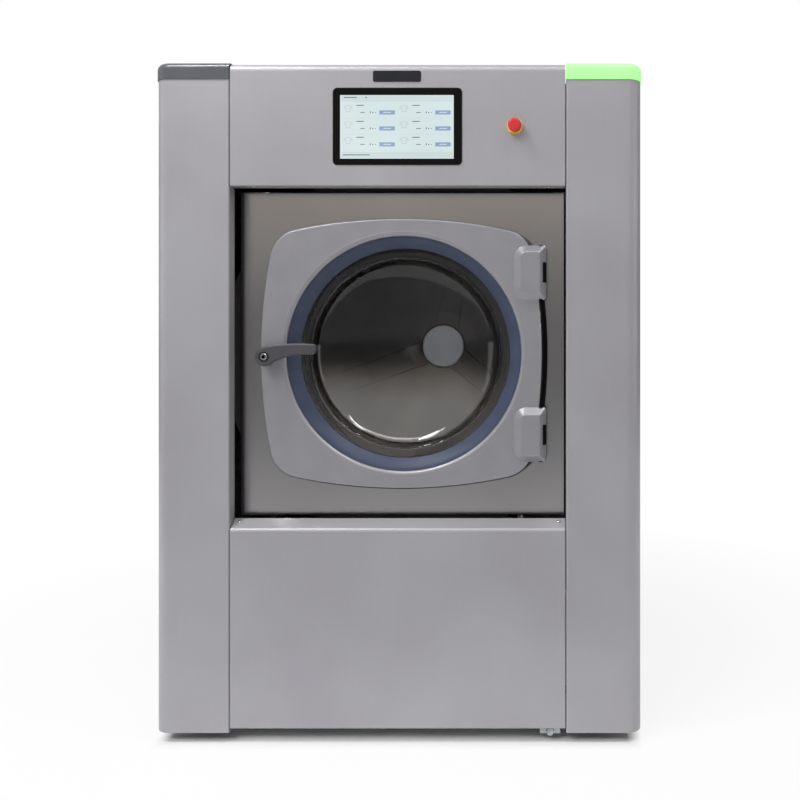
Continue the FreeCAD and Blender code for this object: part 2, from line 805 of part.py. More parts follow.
def estop_head():
    """Mushroom head with a shallow dome, bored for the spigot of the stem."""
    back = estop_head_back()
    front = back - ESTOP_HEAD_LENGTH
    bore = ESTOP_SPIGOT_RADIUS + RUNNING_FIT
    bore_end = back - ESTOP_SPIGOT_LENGTH - RUNNING_FIT
    return estop_turned(
        [
            (0, front),
            (ESTOP_HEAD_RADIUS - ESTOP_HEAD_DOME, front, ESTOP_HEAD_DOME),
            (ESTOP_HEAD_RADIUS, front + ESTOP_HEAD_DOME, ESTOP_HEAD_DOME / 2),
            (ESTOP_HEAD_RADIUS, back),
            (bore, back),
            (bore, bore_end),
            (0, bore_end),
        ]
    )


def lower_panel():
    line = [
        (RETURN_DEPTH, PANEL_BOTTOM),
        (0, PANEL_BOTTOM, FOLD),
        (0, SILL_FRONT, SILL_BEND),
        (SILL_DEPTH, OPENING_BOTTOM, FOLD),
        (SILL_DEPTH, OPENING_BOTTOM - SILL_LIP),
    ]
    half = OPENING_HALF - SEAM
    return sheet_face(line, -SHEET, side_plane(-half)).extrude(RIGHT * (2 * half))


def panel_bracket():
    """Angle under the lower panel, and the hex bolt in its tab."""
    half = BRACKET_WIDTH / 2
    x_range = (BRACKET_X - half, BRACKET_X + half)
    tab_front = BRACKET_DEPTH
    bottom = PANEL_BOTTOM - BRACKET_HEIGHT
    middle = PANEL_BOTTOM - BRACKET_HEIGHT / 2 - BRACKET_SHEET / 2
    leg = box(x_range, (tab_front, RETURN_DEPTH), (PANEL_BOTTOM - BRACKET_SHEET, PANEL_BOTTOM))
    tab = box(x_range, (tab_front, tab_front + BRACKET_SHEET), (bottom, PANEL_BOTTOM))
    hole = rod_back(BRACKET_X, middle, BRACKET_SHANK_RADIUS, tab_front, tab_front + BRACKET_SHEET)
    head_front = tab_front - BRACKET_BOLT_HEAD
    head = hexagon_back(BRACKET_X, middle, BRACKET_BOLT_RADIUS, head_front, tab_front)
    shank_end = tab_front + BRACKET_SHEET + BRACKET_SHANK_END
    shank = rod_back(BRACKET_X, middle, BRACKET_SHANK_RADIUS, head_front, shank_end)
    return [joined([leg, tab]).cut(hole), joined([head, shank])]


def right_side_panel():
    line = [
        (CABINET_HALF, COLUMN_SIDE),
        (CABINET_HALF, CABINET_DEPTH - SHEET, FOLD),
        (CABINET_HALF - SIDE_FLANGE, CABINET_DEPTH - SHEET),
    ]
    section = sheet_face(line, SHEET, floor_plane(RAIL_BOTTOM))
    return section.extrude(UP * (COLUMN_TOP - TOP_FLANGE - RAIL_BOTTOM))


def top_panel():
    line = [
        (CABINET_HALF, COLUMN_TOP - TOP_FLANGE),
        (CABINET_HALF, COLUMN_TOP, FOLD),
        (-CABINET_HALF, COLUMN_TOP, FOLD),
        (-CABINET_HALF, COLUMN_TOP - TOP_FLANGE),
    ]
    section = sheet_face(line, SHEET, front_plane(COLUMN_SIDE))
    return section.extrude(BACK * (CABINET_DEPTH - COLUMN_SIDE))


def rear_panel():
    half = CABINET_HALF - FOLD
    start = CABINET_DEPTH - SHEET
    panel = box((-half, half), (start, CABINET_DEPTH), (RAIL_BOTTOM, COLUMN_TOP - SHEET))
    holes = [rod_back(AXIS_X, AXIS_Z, BELT_COVER_RADIUS - BELT_COVER_LAP, start, CABINET_DEPTH)]
    for x in valve_places():
        holes.append(rod_back(x, VALVE_Z, VALVE_THREAD_RADIUS + PANEL_HOLE_CLEARANCE, start, CABINET_DEPTH))
    drain_hole = DRAIN_RADIUS + PANEL_HOLE_CLEARANCE
    holes.append(rod_back(DRAIN_X, DRAIN_OUTLET_Z, drain_hole, start, CABINET_DEPTH))
    holes.append(rod_back(GLAND_X, GLAND_Z, GLAND_THREAD_RADIUS + PANEL_HOLE_CLEARANCE, start, CABINET_DEPTH))
    for side in (-1, 1):
        for row in range(LOUVRE_COUNT):
            z = LOUVRE_Z + row * LOUVRE_PITCH
            slot = rounded_rectangle(LOUVRE_LENGTH, LOUVRE_HEIGHT, LOUVRE_CORNER, side * LOUVRE_X, z)
            holes.append(face(slot, front_plane(start)).extrude(BACK * SHEET))
    return panel.cut(Part.makeCompound(holes))


def belt_cover():
    """Dished round cover on the rear panel, behind the belt."""
    rim = BELT_COVER_RADIUS - BELT_COVER_LAP
    line = [
        (0, CABINET_DEPTH + BELT_COVER_RISE),
        (rim - BELT_COVER_LAP, CABINET_DEPTH + BELT_COVER_RISE, FOLD),
        (rim, CABINET_DEPTH + SHEET, FOLD),
        (BELT_COVER_RADIUS, CABINET_DEPTH + SHEET),
    ]
    return turned(sheet_face(line, -SHEET, drum_plane))


def valve_places():
    return [VALVE_X + k * VALVE_STEP for k in range(VALVE_COUNT)]


def inlet_valves():
    valves = []
    body_end = CABINET_DEPTH - SHEET
    body_start = body_end - VALVE_BODY_LENGTH
    stub_start = body_start - VALVE_STUB_LENGTH
    for x in valve_places():
        half = VALVE_BODY_WIDTH / 2
        thread = rod_back(x, VALVE_Z, VALVE_THREAD_RADIUS, body_end, CABINET_DEPTH + REAR_REACH)
        bore = rod_back(x, VALVE_Z, VALVE_BORE, CABINET_DEPTH + VALVE_FLANGE, CABINET_DEPTH + REAR_REACH)
        flange = hexagon_back(x, VALVE_Z, VALVE_FLANGE_RADIUS, CABINET_DEPTH, CABINET_DEPTH + VALVE_FLANGE)
        body = box(
            (x - half, x + half),
            (body_start, body_end),
            (VALVE_Z - half, VALVE_Z + VALVE_BODY_HEIGHT - half),
        )
        stub = rod_back(x, VALVE_Z, FILL_HOSE_RADIUS, stub_start, body_start)
        valves.append(joined([thread, flange, body, stub]).cut(bore))
    return valves


def fill_hoses():
    """Hoses from the inlet valves to the top of the tub, cut where they meet it."""
    hoses = []
    start = CABINET_DEPTH - SHEET - VALVE_BODY_LENGTH - VALVE_STUB_LENGTH
    tub = rod_back(AXIS_X, AXIS_Z, TUB_OUTER, TUB_FRONT_DEPTH, TUB_BACK_DEPTH)
    for x in valve_places():
        path = [(start, VALVE_Z), (FILL_HOSE_DEPTH, VALVE_Z, FILL_HOSE_BEND), (FILL_HOSE_DEPTH, AXIS_Z)]
        hose = tube(path, side_plane(x), FILL_HOSE_RADIUS, FILL_HOSE_WALL).cut(tub)
        hoses.append(max(hose.Solids, key=lambda solid: solid.BoundBox.ZMax))
    return hoses


def drain_outlet():
    end = CABINET_DEPTH + REAR_REACH
    pipe = rod_back(DRAIN_X, DRAIN_OUTLET_Z, DRAIN_RADIUS, DRAIN_OUTLET_START, end)
    flange_end = CABINET_DEPTH + DRAIN_FLANGE
    flange = rod_back(DRAIN_X, DRAIN_OUTLET_Z, DRAIN_FLANGE_RADIUS, CABINET_DEPTH, flange_end)
    bore = rod_back(DRAIN_X, DRAIN_OUTLET_Z, DRAIN_RADIUS - DRAIN_WALL, DRAIN_OUTLET_START, end)
    return joined([pipe, flange]).cut(bore)


def drain_hose():
    path = [
        (DRAIN_STUB_DEPTH, DRAIN_STUB_Z),
        (DRAIN_HOSE_FALL_DEPTH, DRAIN_STUB_Z, DRAIN_HOSE_BEND),
        (DRAIN_HOSE_LOW_DEPTH, DRAIN_OUTLET_Z, DRAIN_HOSE_BEND),
        (DRAIN_OUTLET_START, DRAIN_OUTLET_Z),
    ]
    return tube(path, side_plane(DRAIN_X), DRAIN_RADIUS, DRAIN_WALL)


def drain_valve():
    """Valve under the tub: a neck that seats on the tub, a round body and an outlet to the rear."""
    neck = rod_up(DRAIN_X, DRAIN_DEPTH, DRAIN_RADIUS, DRAIN_BODY_TOP, AXIS_Z)
    body = rod_up(DRAIN_X, DRAIN_DEPTH, DRAIN_BODY_RADIUS, DRAIN_BODY_BOTTOM, DRAIN_BODY_TOP)
    stub = rod_back(DRAIN_X, DRAIN_STUB_Z, DRAIN_RADIUS, DRAIN_DEPTH, DRAIN_STUB_DEPTH)
    bore = DRAIN_RADIUS - DRAIN_WALL
    ways = [
        rod_up(DRAIN_X, DRAIN_DEPTH, bore, DRAIN_STUB_Z, AXIS_Z),
        rod_back(DRAIN_X, DRAIN_STUB_Z, bore, DRAIN_DEPTH, DRAIN_STUB_DEPTH),
        rod_back(AXIS_X, AXIS_Z, TUB_OUTER, TUB_FRONT_DEPTH, TUB_BACK_DEPTH),
    ]
    return joined([neck, body, stub]).cut(joined(ways))


def cable_gland():
    """Domed gland with a hexagon and a thread that passes through the rear panel; it holds no cable."""
    start = CABINET_DEPTH
    thread_start = start - GLAND_THREAD_LENGTH
    end = start + GLAND_REACH
    nut = hexagon_back(GLAND_X, GLAND_Z, GLAND_NUT_RADIUS, start, start + GLAND_NUT)
    thread = rod_back(GLAND_X, GLAND_Z, GLAND_THREAD_RADIUS, thread_start, start)
    dome = rod_back(GLAND_X, GLAND_Z, GLAND_RADIUS, start, end)
    dome = dome.makeFillet(GLAND_DOME, [max(dome.Edges, key=lambda edge: edge.CenterOfMass.y)])
    bore = rod_back(GLAND_X, GLAND_Z, GLAND_BORE, thread_start, end)
    return joined([nut, thread, dome]).cut(bore)


def control_box():
    """Sheet box on the inside of the rear panel, with rounded front corners."""
    end = CABINET_DEPTH - SHEET
    start = end - CONTROL_BOX_DEPTH
    x_end = CONTROL_BOX_X + CONTROL_BOX_WIDTH
    z_end = CONTROL_BOX_Z + CONTROL_BOX_HEIGHT
    wall = CONTROL_BOX_WALL
    case = box((CONTROL_BOX_X, x_end), (start, end), (CONTROL_BOX_Z, z_end))
    front_edges = [edge for edge in case.Edges if abs(edge.CenterOfMass.y - FRONT_Y - start) < NEAR]
    case = case.makeFillet(CONTROL_BOX_EDGE, front_edges)
    inside = box(
        (CONTROL_BOX_X + wall, x_end - wall),
        (start + CONTROL_BOX_EDGE, end),
        (CONTROL_BOX_Z + wall, z_end - wall),
    )
    return case.cut(inside)


def strut_places():
    return [(side * STRUT_X, depth) for side in (-1, 1) for depth in (STRUT_FRONT_DEPTH, STRUT_REAR_DEPTH)]


def damper_tubes():
    tubes = []
    for x, depth in strut_places():
        seat = rod_up(x, depth, STRUT_SEAT_RADIUS, RAIL_TOP, RAIL_TOP + STRUT_SEAT_HEIGHT)
        body = rod_up(x, depth, DAMPER_RADIUS, RAIL_TOP, DAMPER_TOP)
        bore = rod_up(x, depth, DAMPER_BORE, RAIL_TOP + STRUT_SEAT_HEIGHT, DAMPER_TOP - DAMPER_CAP)
        guide = rod_up(x, depth, ROD_RADIUS + RUNNING_FIT, RAIL_TOP + STRUT_SEAT_HEIGHT, DAMPER_TOP)
        tubes.append(joined([seat, body]).cut(joined([bore, guide])))
    return tubes


def damper_rods():
    rods = []
    for x, depth in strut_places():
        rod = rod_up(x, depth, ROD_RADIUS, PISTON_BOTTOM, SHELF_Z)
        piston_top = PISTON_BOTTOM + PISTON_HEIGHT
        piston = rod_up(x, depth, DAMPER_BORE - RUNNING_FIT, PISTON_BOTTOM, piston_top)
        rods.append(joined([rod, piston]))
    return rods


def suspension_springs():
    springs = []
    half_wire = SPRING_WIRE / 2
    bottom = RAIL_TOP + STRUT_SEAT_HEIGHT
    for x, depth in strut_places():
        outside = rod_up(x, depth, SPRING_RADIUS + half_wire, bottom, SHELF_Z)
        springs.append(outside.cut(rod_up(x, depth, SPRING_RADIUS - half_wire, bottom, SHELF_Z)))
    return springs


def tub_cradles():
    """A shelf over the struts on each side, with ribs that reach up to the tub."""
    cradles = []
    tub = rod_back(AXIS_X, AXIS_Z, TUB_OUTER, TUB_FRONT_DEPTH, TUB_BACK_DEPTH)
    high = math.radians(CRADLE_HIGH_ANGLE)
    low = math.radians(CRADLE_LOW_ANGLE)
    high_point = (TUB_OUTER * math.cos(high), AXIS_Z - TUB_OUTER * math.sin(high))
    low_point = (TUB_OUTER * math.cos(low), AXIS_Z - TUB_OUTER * math.sin(low))
    outer = STRUT_X + SHELF_WIDTH / 2
    shelf_top = SHELF_Z + SHELF_THICKNESS
    outline = [
        low_point,
        (STRUT_X - SHELF_WIDTH / 2, SHELF_Z),
        (outer, SHELF_Z),
        (outer, shelf_top),
        (high_point[0] + CRADLE_RIB, high_point[1]),
        high_point,
        (high_point[0] - CRADLE_BITE, high_point[1]),
    ]
    shelf = box(
        (STRUT_X - SHELF_WIDTH / 2, outer),
        (STRUT_FRONT_DEPTH - SHELF_OVERHANG, STRUT_REAR_DEPTH + SHELF_OVERHANG),
        (SHELF_Z, shelf_top),
    )
    pieces = [shelf]
    for depth in (STRUT_FRONT_DEPTH, STRUT_REAR_DEPTH):
        rib = face(outline, front_plane(depth - CRADLE_RIB / 2)).extrude(BACK * CRADLE_RIB)
        pieces.append(rib)
    right = joined(pieces)
    for side in (right, mirrored(right)):
        cradles.append(max(side.cut(tub).Solids, key=lambda solid: solid.Volume))
    return cradles


def outer_tub():
    front = TUB_FRONT_DEPTH + MOUTH_WALL
    inner_back = TUB_BACK_DEPTH - TUB_BACK_WALL
    hole = FRONT_BEARING_OUTER
    shell = turned_points(
        [
            (TUB_RADIUS, front),
            (TUB_OUTER, front),
            (TUB_OUTER, TUB_BACK_DEPTH, TUB_CORNER),
            (hole, TUB_BACK_DEPTH),
            (hole, inner_back),
            (TUB_RADIUS, inner_back, TUB_CORNER - TUB_WALL),
        ]
    )
    cuts = [rod_up(DRAIN_X, DRAIN_DEPTH, DRAIN_RADIUS - DRAIN_WALL, DRAIN_BODY_TOP, AXIS_Z)]
    for x, z in heater_legs():
        cuts.append(rod_back(x, z, HEATER_RADIUS + HEATER_CLEARANCE, inner_back - TUB_CORNER, TUB_BACK_DEPTH))
    return shell.cut(Part.makeCompound(cuts))


def tub_front_ring():
    """Front wall of the tub with the mouth collar and the flange that carries the front panel."""
    outer = MOUTH_RADIUS + MOUTH_WALL
    panel_back = TUB_PANEL_DEPTH + TUB_PANEL_SHEET
    return turned_points(
        [
            (MOUTH_RADIUS, TUB_PANEL_DEPTH - MOUTH_PROUD, MOUTH_EDGE),
            (outer, TUB_PANEL_DEPTH - MOUTH_PROUD, MOUTH_EDGE),
            (outer, panel_back),
            (outer + MOUTH_FLANGE, panel_back),
            (outer + MOUTH_FLANGE, panel_back + MOUTH_WALL),
            (outer, panel_back + MOUTH_WALL),
            (outer, TUB_FRONT_DEPTH),
            (TUB_OUTER, TUB_FRONT_DEPTH),
            (TUB_OUTER, TUB_FRONT_DEPTH + MOUTH_WALL),
            (MOUTH_RADIUS, TUB_FRONT_DEPTH + MOUTH_WALL),
        ]
    )


def pan(inset):
    """Box with rounded front edges, for the outside or the inside of the tub front panel."""
    half = TUB_PANEL_WIDTH / 2 - inset
    block = box(
        (-half, half),
        (TUB_PANEL_DEPTH + inset, TUB_PANEL_DEPTH + TUB_PANEL_FLANGE),
        (TUB_PANEL_BOTTOM + inset, TUB_PANEL_TOP - inset),
    )
    front = FRONT_Y + TUB_PANEL_DEPTH + inset
    rear = FRONT_Y + TUB_PANEL_DEPTH + TUB_PANEL_FLANGE
    edges = [edge for edge in block.Edges if abs(edge.CenterOfMass.y - rear) > NEAR]
    front_edges = [edge for edge in edges if abs(edge.CenterOfMass.y - front) < NEAR]
    corner_edges = [edge for edge in edges if edge.BoundBox.YLength > NEAR]
    return block.makeFillet(TUB_PANEL_BEND - inset, front_edges + corner_edges)


def tub_front_panel():
    panel = pan(0.0).cut(pan(TUB_PANEL_SHEET))
    back = TUB_PANEL_DEPTH + TUB_PANEL_SHEET
    mouth = rod_back(AXIS_X, AXIS_Z, MOUTH_RADIUS + MOUTH_WALL + GASKET_FIT, TUB_PANEL_DEPTH, back)
    lock = rod_back(LEVER_X, LEVER_Z, LOCK_HOLE_RADIUS, TUB_PANEL_DEPTH, back)
    return panel.cut(mouth).cut(lock)


def drum_shell():
    line = [
        (DRUM_LIP_RADIUS, DRUM_FRONT_DEPTH + DRUM_LIP_LENGTH),
        (DRUM_LIP_RADIUS, DRUM_FRONT_DEPTH, DRUM_LIP_BEND),
        (DRUM_RADIUS, DRUM_FRONT_DEPTH + DRUM_CONE, DRUM_EDGE_BEND),
        (DRUM_RADIUS, DRUM_BACK_DEPTH),
    ]
    return turned(sheet_face(line, DRUM_WALL, drum_plane))


def drum_back():
    """Dished back of the drum with three raised arms."""
    rim = DRUM_INNER - DISH_RIM_WIDTH
    rim_depth = DRUM_BACK_DEPTH - DISH_WALL
    line = [
        (0, DISH_CENTRE_DEPTH),
        (DISH_CENTRE_RADIUS, DISH_CENTRE_DEPTH, DISH_BEND),
        (rim, rim_depth, DISH_BEND),
        (DRUM_INNER, rim_depth),
    ]
    dish = turned(sheet_face(line, DISH_WALL, drum_plane))
    half = DISH_ARM_WIDTH / 2
    side = [
        (DISH_ARM_START, DISH_CENTRE_DEPTH + DISH_WALL / 2),
        (DISH_ARM_START, DISH_CENTRE_DEPTH - DISH_ARM_RISE),
        (DISH_CENTRE_RADIUS, DISH_CENTRE_DEPTH - DISH_ARM_RISE),
        (rim, rim_depth),
        (rim, rim_depth + DISH_WALL / 2),
        (DISH_CENTRE_RADIUS, DISH_CENTRE_DEPTH + DISH_WALL / 2),
    ]
    arm = face(side, lambda u, v: at(AXIS_X + u, v, AXIS_Z - half)).extrude(UP * (2 * half))
    taper = arm_taper(half, rim)
    arm = arm.common(taper)
    arms = ring_of(arm, ARM_COUNT, LIFTER_ANGLE + 180.0 / ARM_COUNT)
    return joined([dish] + arms)


def arm_taper(half, rim):
    """Wedge that slopes the sides of a drum back arm and narrows it outwards."""
    back = DISH_CENTRE_DEPTH + DISH_RISE + DISH_WALL
    front = DISH_CENTRE_DEPTH - DISH_ARM_RISE
    wires = []
    for depth, inset in ((back, 0.0), (front, 2 * DISH_ARM_EDGE)):
        near = half - inset
        far = half * DISH_ARM_TAPER - inset
        corners = [
            at(AXIS_X + DISH_ARM_START, depth, AXIS_Z - near),
            at(AXIS_X + rim, depth, AXIS_Z - far),
            at(AXIS_X + rim, depth, AXIS_Z + far),
            at(AXIS_X + DISH_ARM_START, depth, AXIS_Z + near),
        ]
        wires.append(Part.makePolygon(corners + corners[:1]))
    return Part.makeLoft(wires, True, True)


def hub_cover():
    back = DISH_CENTRE_DEPTH
    front = back - HUB_HEIGHT
    disc = turned_points([(0, front), (HUB_RADIUS, front, HUB_EDGE), (HUB_RADIUS, back), (0, back)])
    arms = drum_back()
    return disc.cut(arms)


def lifter_block(inset):
    """Outer or inner form of a lifter: a rounded trapezium, sloped at both ends."""
    half_base = LIFTER_BASE / 2 - inset
    half_top = LIFTER_TOP / 2 - inset
    top = DRUM_INNER - LIFTER_HEIGHT + inset
    foot = math.sqrt(DRUM_INNER ** 2 - half_base ** 2)
    start = DRUM_FRONT_DEPTH + DRUM_CONE + LIFTER_END_GAP + inset
    end = DRUM_BACK_DEPTH - DISH_WALL - LIFTER_END_GAP - inset
    section = [
        (DRUM_RADIUS, -half_base),
        (DRUM_RADIUS, half_base),
        (foot, half_base),
        (top, half_top, LIFTER_ROUND - inset),
        (top, -half_top, LIFTER_ROUND - inset),
        (foot, -half_base),
    ]
    bar = face(section, lambda u, v: at(AXIS_X + u, start, AXIS_Z + v)).extrude(BACK * (end - start))
    slope = [
        (DRUM_RADIUS, start),
        (top, start + LIFTER_SLOPE),
        (top, end - LIFTER_SLOPE),
        (DRUM_RADIUS, end),
    ]
    wedge = face(slope, lambda u, v: at(AXIS_X + u, v, AXIS_Z - LIFTER_BASE)).extrude(UP * (2 * LIFTER_BASE))
    return bar.common(wedge)


def drum_lifters():
    """Pressed sheet ribs inside the drum, open towards its wall."""
    bore = rod_back(AXIS_X, AXIS_Z, DRUM_INNER, DRUM_FRONT_DEPTH, DRUM_BACK_DEPTH)
    lifter = lifter_block(0.0).cut(lifter_block(LIFTER_SHEET)).common(bore)
    return ring_of(lifter, LIFTER_COUNT, LIFTER_ANGLE)


def spider_shaft():
    """Three arms behind the drum back, with the shaft that carries the drum."""
    hub_front = DISH_CENTRE_DEPTH + DISH_WALL
    rim = DRUM_INNER - DISH_RIM_WIDTH / 4
    inner = SPIDER_HUB_RADIUS / 2
    side = [
        (inner, DRUM_BACK_DEPTH),
        (rim, DRUM_BACK_DEPTH),
        (rim, DRUM_BACK_DEPTH + SPIDER_RIM_THICKNESS),
        (SPIDER_HUB_RADIUS, SPIDER_HUB_REAR),
        (inner, SPIDER_HUB_REAR),
    ]
    half = SPIDER_ARM_WIDTH / 2
    arm = face(side, lambda u, v: at(AXIS_X + u, v, AXIS_Z - half)).extrude(UP * (2 * half))
    arms = ring_of(arm, ARM_COUNT, LIFTER_ANGLE + 180.0 / ARM_COUNT)
    shaft_end = PULLEY_DEPTH + PULLEY_WIDTH + SHAFT_NUT_REACH
    shaft = turned_points(
        [
            (0, hub_front),
            (SPIDER_HUB_RADIUS, hub_front),
            (SPIDER_HUB_RADIUS, SPIDER_HUB_REAR),
            (SHAFT_FRONT_RADIUS, SPIDER_HUB_REAR),
            (SHAFT_FRONT_RADIUS, SHAFT_STEP),
            (SHAFT_REAR_RADIUS, SHAFT_STEP),
            (SHAFT_REAR_RADIUS, SHAFT_PULLEY_STEP),
            (SHAFT_PULLEY_RADIUS, SHAFT_PULLEY_STEP),
            (SHAFT_PULLEY_RADIUS, shaft_end),
            (0, shaft_end),
        ]
    )
    return joined([shaft] + arms)


def bearing_housing():
    """Casting on the back of the tub: a flange, a tapered tube with both bearing seats, and ribs."""
    flange_end = TUB_BACK_DEPTH + HOUSING_FLANGE
    front_seat = FRONT_BEARING_OUTER + BEARING_FIT
    rear_seat = REAR_BEARING_OUTER + BEARING_FIT
    front_end = FRONT_BEARING_DEPTH + FRONT_BEARING_WIDTH
    body = turned_points(
        [
            (front_seat, TUB_BACK_DEPTH),
            (HOUSING_FLANGE_RADIUS, TUB_BACK_DEPTH),
            (HOUSING_FLANGE_RADIUS, flange_end),
            (HOUSING_TUBE_RADIUS + HOUSING_FLANGE, flange_end, HOUSING_FLANGE / 2),
            (HOUSING_TUBE_RADIUS, HOUSING_END_DEPTH),
            (rear_seat, HOUSING_END_DEPTH),
            (rear_seat, REAR_BEARING_DEPTH),
            (HOUSING_SHOULDER_RADIUS, REAR_BEARING_DEPTH),
            (HOUSING_SHOULDER_RADIUS, front_end),
            (front_seat, front_end),
        ]
    )
    rib_side = [
        (HOUSING_TUBE_RADIUS, flange_end - HOUSING_FLANGE / 2),
        (HOUSING_FLANGE_RADIUS, flange_end - HOUSING_FLANGE / 2),
        (HOUSING_FLANGE_RADIUS, flange_end),
        (HOUSING_TUBE_RADIUS, HOUSING_END_DEPTH - HOUSING_FLANGE),
    ]
    half = HOUSING_RIB_WIDTH / 2
    rib = face(rib_side, lambda u, v: at(AXIS_X + u, v, AXIS_Z - half)).extrude(UP * (2 * half))
    return joined([body] + ring_of(rib, HOUSING_RIBS))


def shaft_ring(inner, outer, start, width):
    end = start + width
    return turned_points([(inner, start), (outer, start), (outer, end), (inner, end)])


def shaft_bearings():
    front_bore = SHAFT_FRONT_RADIUS + BEARING_FIT
    rear_bore = SHAFT_REAR_RADIUS + BEARING_FIT
    front = shaft_ring(front_bore, FRONT_BEARING_OUTER, FRONT_BEARING_DEPTH, FRONT_BEARING_WIDTH)
    rear = shaft_ring(rear_bore, REAR_BEARING_OUTER, REAR_BEARING_DEPTH, REAR_BEARING_WIDTH)
    return [front, rear]


def shaft_seal():
    start = FRONT_BEARING_DEPTH - SEAL_WIDTH
    return shaft_ring(SHAFT_FRONT_RADIUS + RUNNING_FIT, FRONT_BEARING_OUTER, start, SEAL_WIDTH)


def drum_pulley():
    end = PULLEY_DEPTH + PULLEY_WIDTH
    web_start = BELT_MIDDLE - PULLEY_WEB / 2
    web_end = BELT_MIDDLE + PULLEY_WEB / 2
    rim = PULLEY_RADIUS - PULLEY_RIM
    wheel = turned_points(
        [
            (SHAFT_PULLEY_RADIUS, PULLEY_DEPTH),
            (PULLEY_HUB_RADIUS, PULLEY_DEPTH),
            (PULLEY_HUB_RADIUS, web_start),
            (rim, web_start),
            (rim, PULLEY_DEPTH),
            (PULLEY_RADIUS, PULLEY_DEPTH),
            (PULLEY_RADIUS, end),
            (rim, end),
            (rim, web_end),
            (PULLEY_HUB_RADIUS, web_end),
            (PULLEY_HUB_RADIUS, end),
            (SHAFT_PULLEY_RADIUS, end),
        ]
    )
    middle = (PULLEY_HUB_RADIUS + rim) / 2
    window = rod_back(AXIS_X + middle, AXIS_Z, PULLEY_WINDOW_RADIUS, web_start, web_end)
    return wheel.cut(Part.makeCompound(ring_of(window, PULLEY_WINDOWS)))


def belt_wire(offset):
    """Loop round both pulleys at an offset from their faces."""
    large = PULLEY_RADIUS + offset
    small = MOTOR_PULLEY_RADIUS + offset
    span_x = MOTOR_X - AXIS_X
    span_z = MOTOR_Z - AXIS_Z
    span = math.hypot(span_x, span_z)
    heading = math.atan2(span_z, span_x)
    lean = math.acos((large - small) / span)
    depth = BELT_MIDDLE - BELT_WIDTH / 2

    def spot(centre, radius, angle):
        return at(centre[0] + radius * math.cos(angle), depth, centre[1] + radius * math.sin(angle))

    drum = (AXIS_X, AXIS_Z)
    motor = (MOTOR_X, MOTOR_Z)
    drum_left = spot(drum, large, heading + lean)
    drum_right = spot(drum, large, heading - lean)
    motor_left = spot(motor, small, heading + lean)
    motor_right = spot(motor, small, heading - lean)
    edges = [
        Part.Arc(drum_left, spot(drum, large, heading + math.pi), drum_right).toShape(),
        Part.LineSegment(drum_right, motor_right).toShape(),
        Part.Arc(motor_right, spot(motor, small, heading), motor_left).toShape(),
        Part.LineSegment(motor_left, drum_left).toShape(),
    ]
    return Part.Wire(edges)


def drive_belt():
    outside = Part.Face(belt_wire(BELT_GAP + BELT_THICKNESS)).extrude(BACK * BELT_WIDTH)
    inside = Part.Face(belt_wire(BELT_GAP)).extrude(BACK * BELT_WIDTH)
    return outside.cut(inside)


def motor_plane(radius, depth):
    return at(MOTOR_X + radius, depth, MOTOR_Z)


def motor_turned(points):
    return face(points, motor_plane).revolve(at(MOTOR_X, 0, MOTOR_Z), BACK, 360)


def motor_top():
    return MOTOR_Z + MOTOR_RADIUS + MOTOR_FOOT_HEIGHT


def motor():
    front = MOTOR_REAR_DEPTH - MOTOR_LENGTH
    bell = MOTOR_RADIUS - MOTOR_BELL / 2
    body = motor_turned(
        [
            (0, front),
            (bell, front, FOLD),
            (bell, front + MOTOR_BELL),
            (MOTOR_RADIUS, front + MOTOR_BELL),
            (MOTOR_RADIUS, MOTOR_REAR_DEPTH - MOTOR_BELL),
            (bell, MOTOR_REAR_DEPTH - MOTOR_BELL),
            (bell, MOTOR_REAR_DEPTH, FOLD),
            (0, MOTOR_REAR_DEPTH),
        ]
    )
    middle = front + MOTOR_LENGTH / 2
    foot = box(
        (MOTOR_X - MOTOR_FOOT_WIDTH / 2, MOTOR_X + MOTOR_FOOT_WIDTH / 2),
        (middle - MOTOR_FOOT_LENGTH / 2, middle + MOTOR_FOOT_LENGTH / 2),
        (MOTOR_Z + MOTOR_RADIUS / 2, motor_top()),
    )
    seat = rod_back(
        MOTOR_X,
        MOTOR_Z,
        MOTOR_SHAFT_RADIUS + RUNNING_FIT,
        MOTOR_REAR_DEPTH - MOTOR_SHAFT_SEAT,
        MOTOR_REAR_DEPTH,
    )
    return joined([body, foot]).cut(seat)


def motor_bracket():
    """Channel between the tub and the feet of the motor."""
    half = MOTOR_FOOT_WIDTH / 2
    wall = MOTOR_BRACKET_WALL
    middle = MOTOR_REAR_DEPTH - MOTOR_LENGTH / 2
    end = min(middle + MOTOR_FOOT_LENGTH / 2, TUB_BACK_DEPTH - TUB_CORNER)
    span = (middle - MOTOR_FOOT_LENGTH / 2, end)
    bottom = motor_top()
    block = box((MOTOR_X - half, MOTOR_X + half), span, (bottom, AXIS_Z))
    hollow = box((MOTOR_X - half + wall, MOTOR_X + half - wall), span, (bottom + wall, AXIS_Z))
    tub = rod_back(AXIS_X, AXIS_Z, TUB_OUTER, TUB_FRONT_DEPTH, TUB_BACK_DEPTH)
    bracket = block.cut(hollow).cut(tub)
    return min(bracket.Solids, key=lambda solid: solid.BoundBox.ZMin)


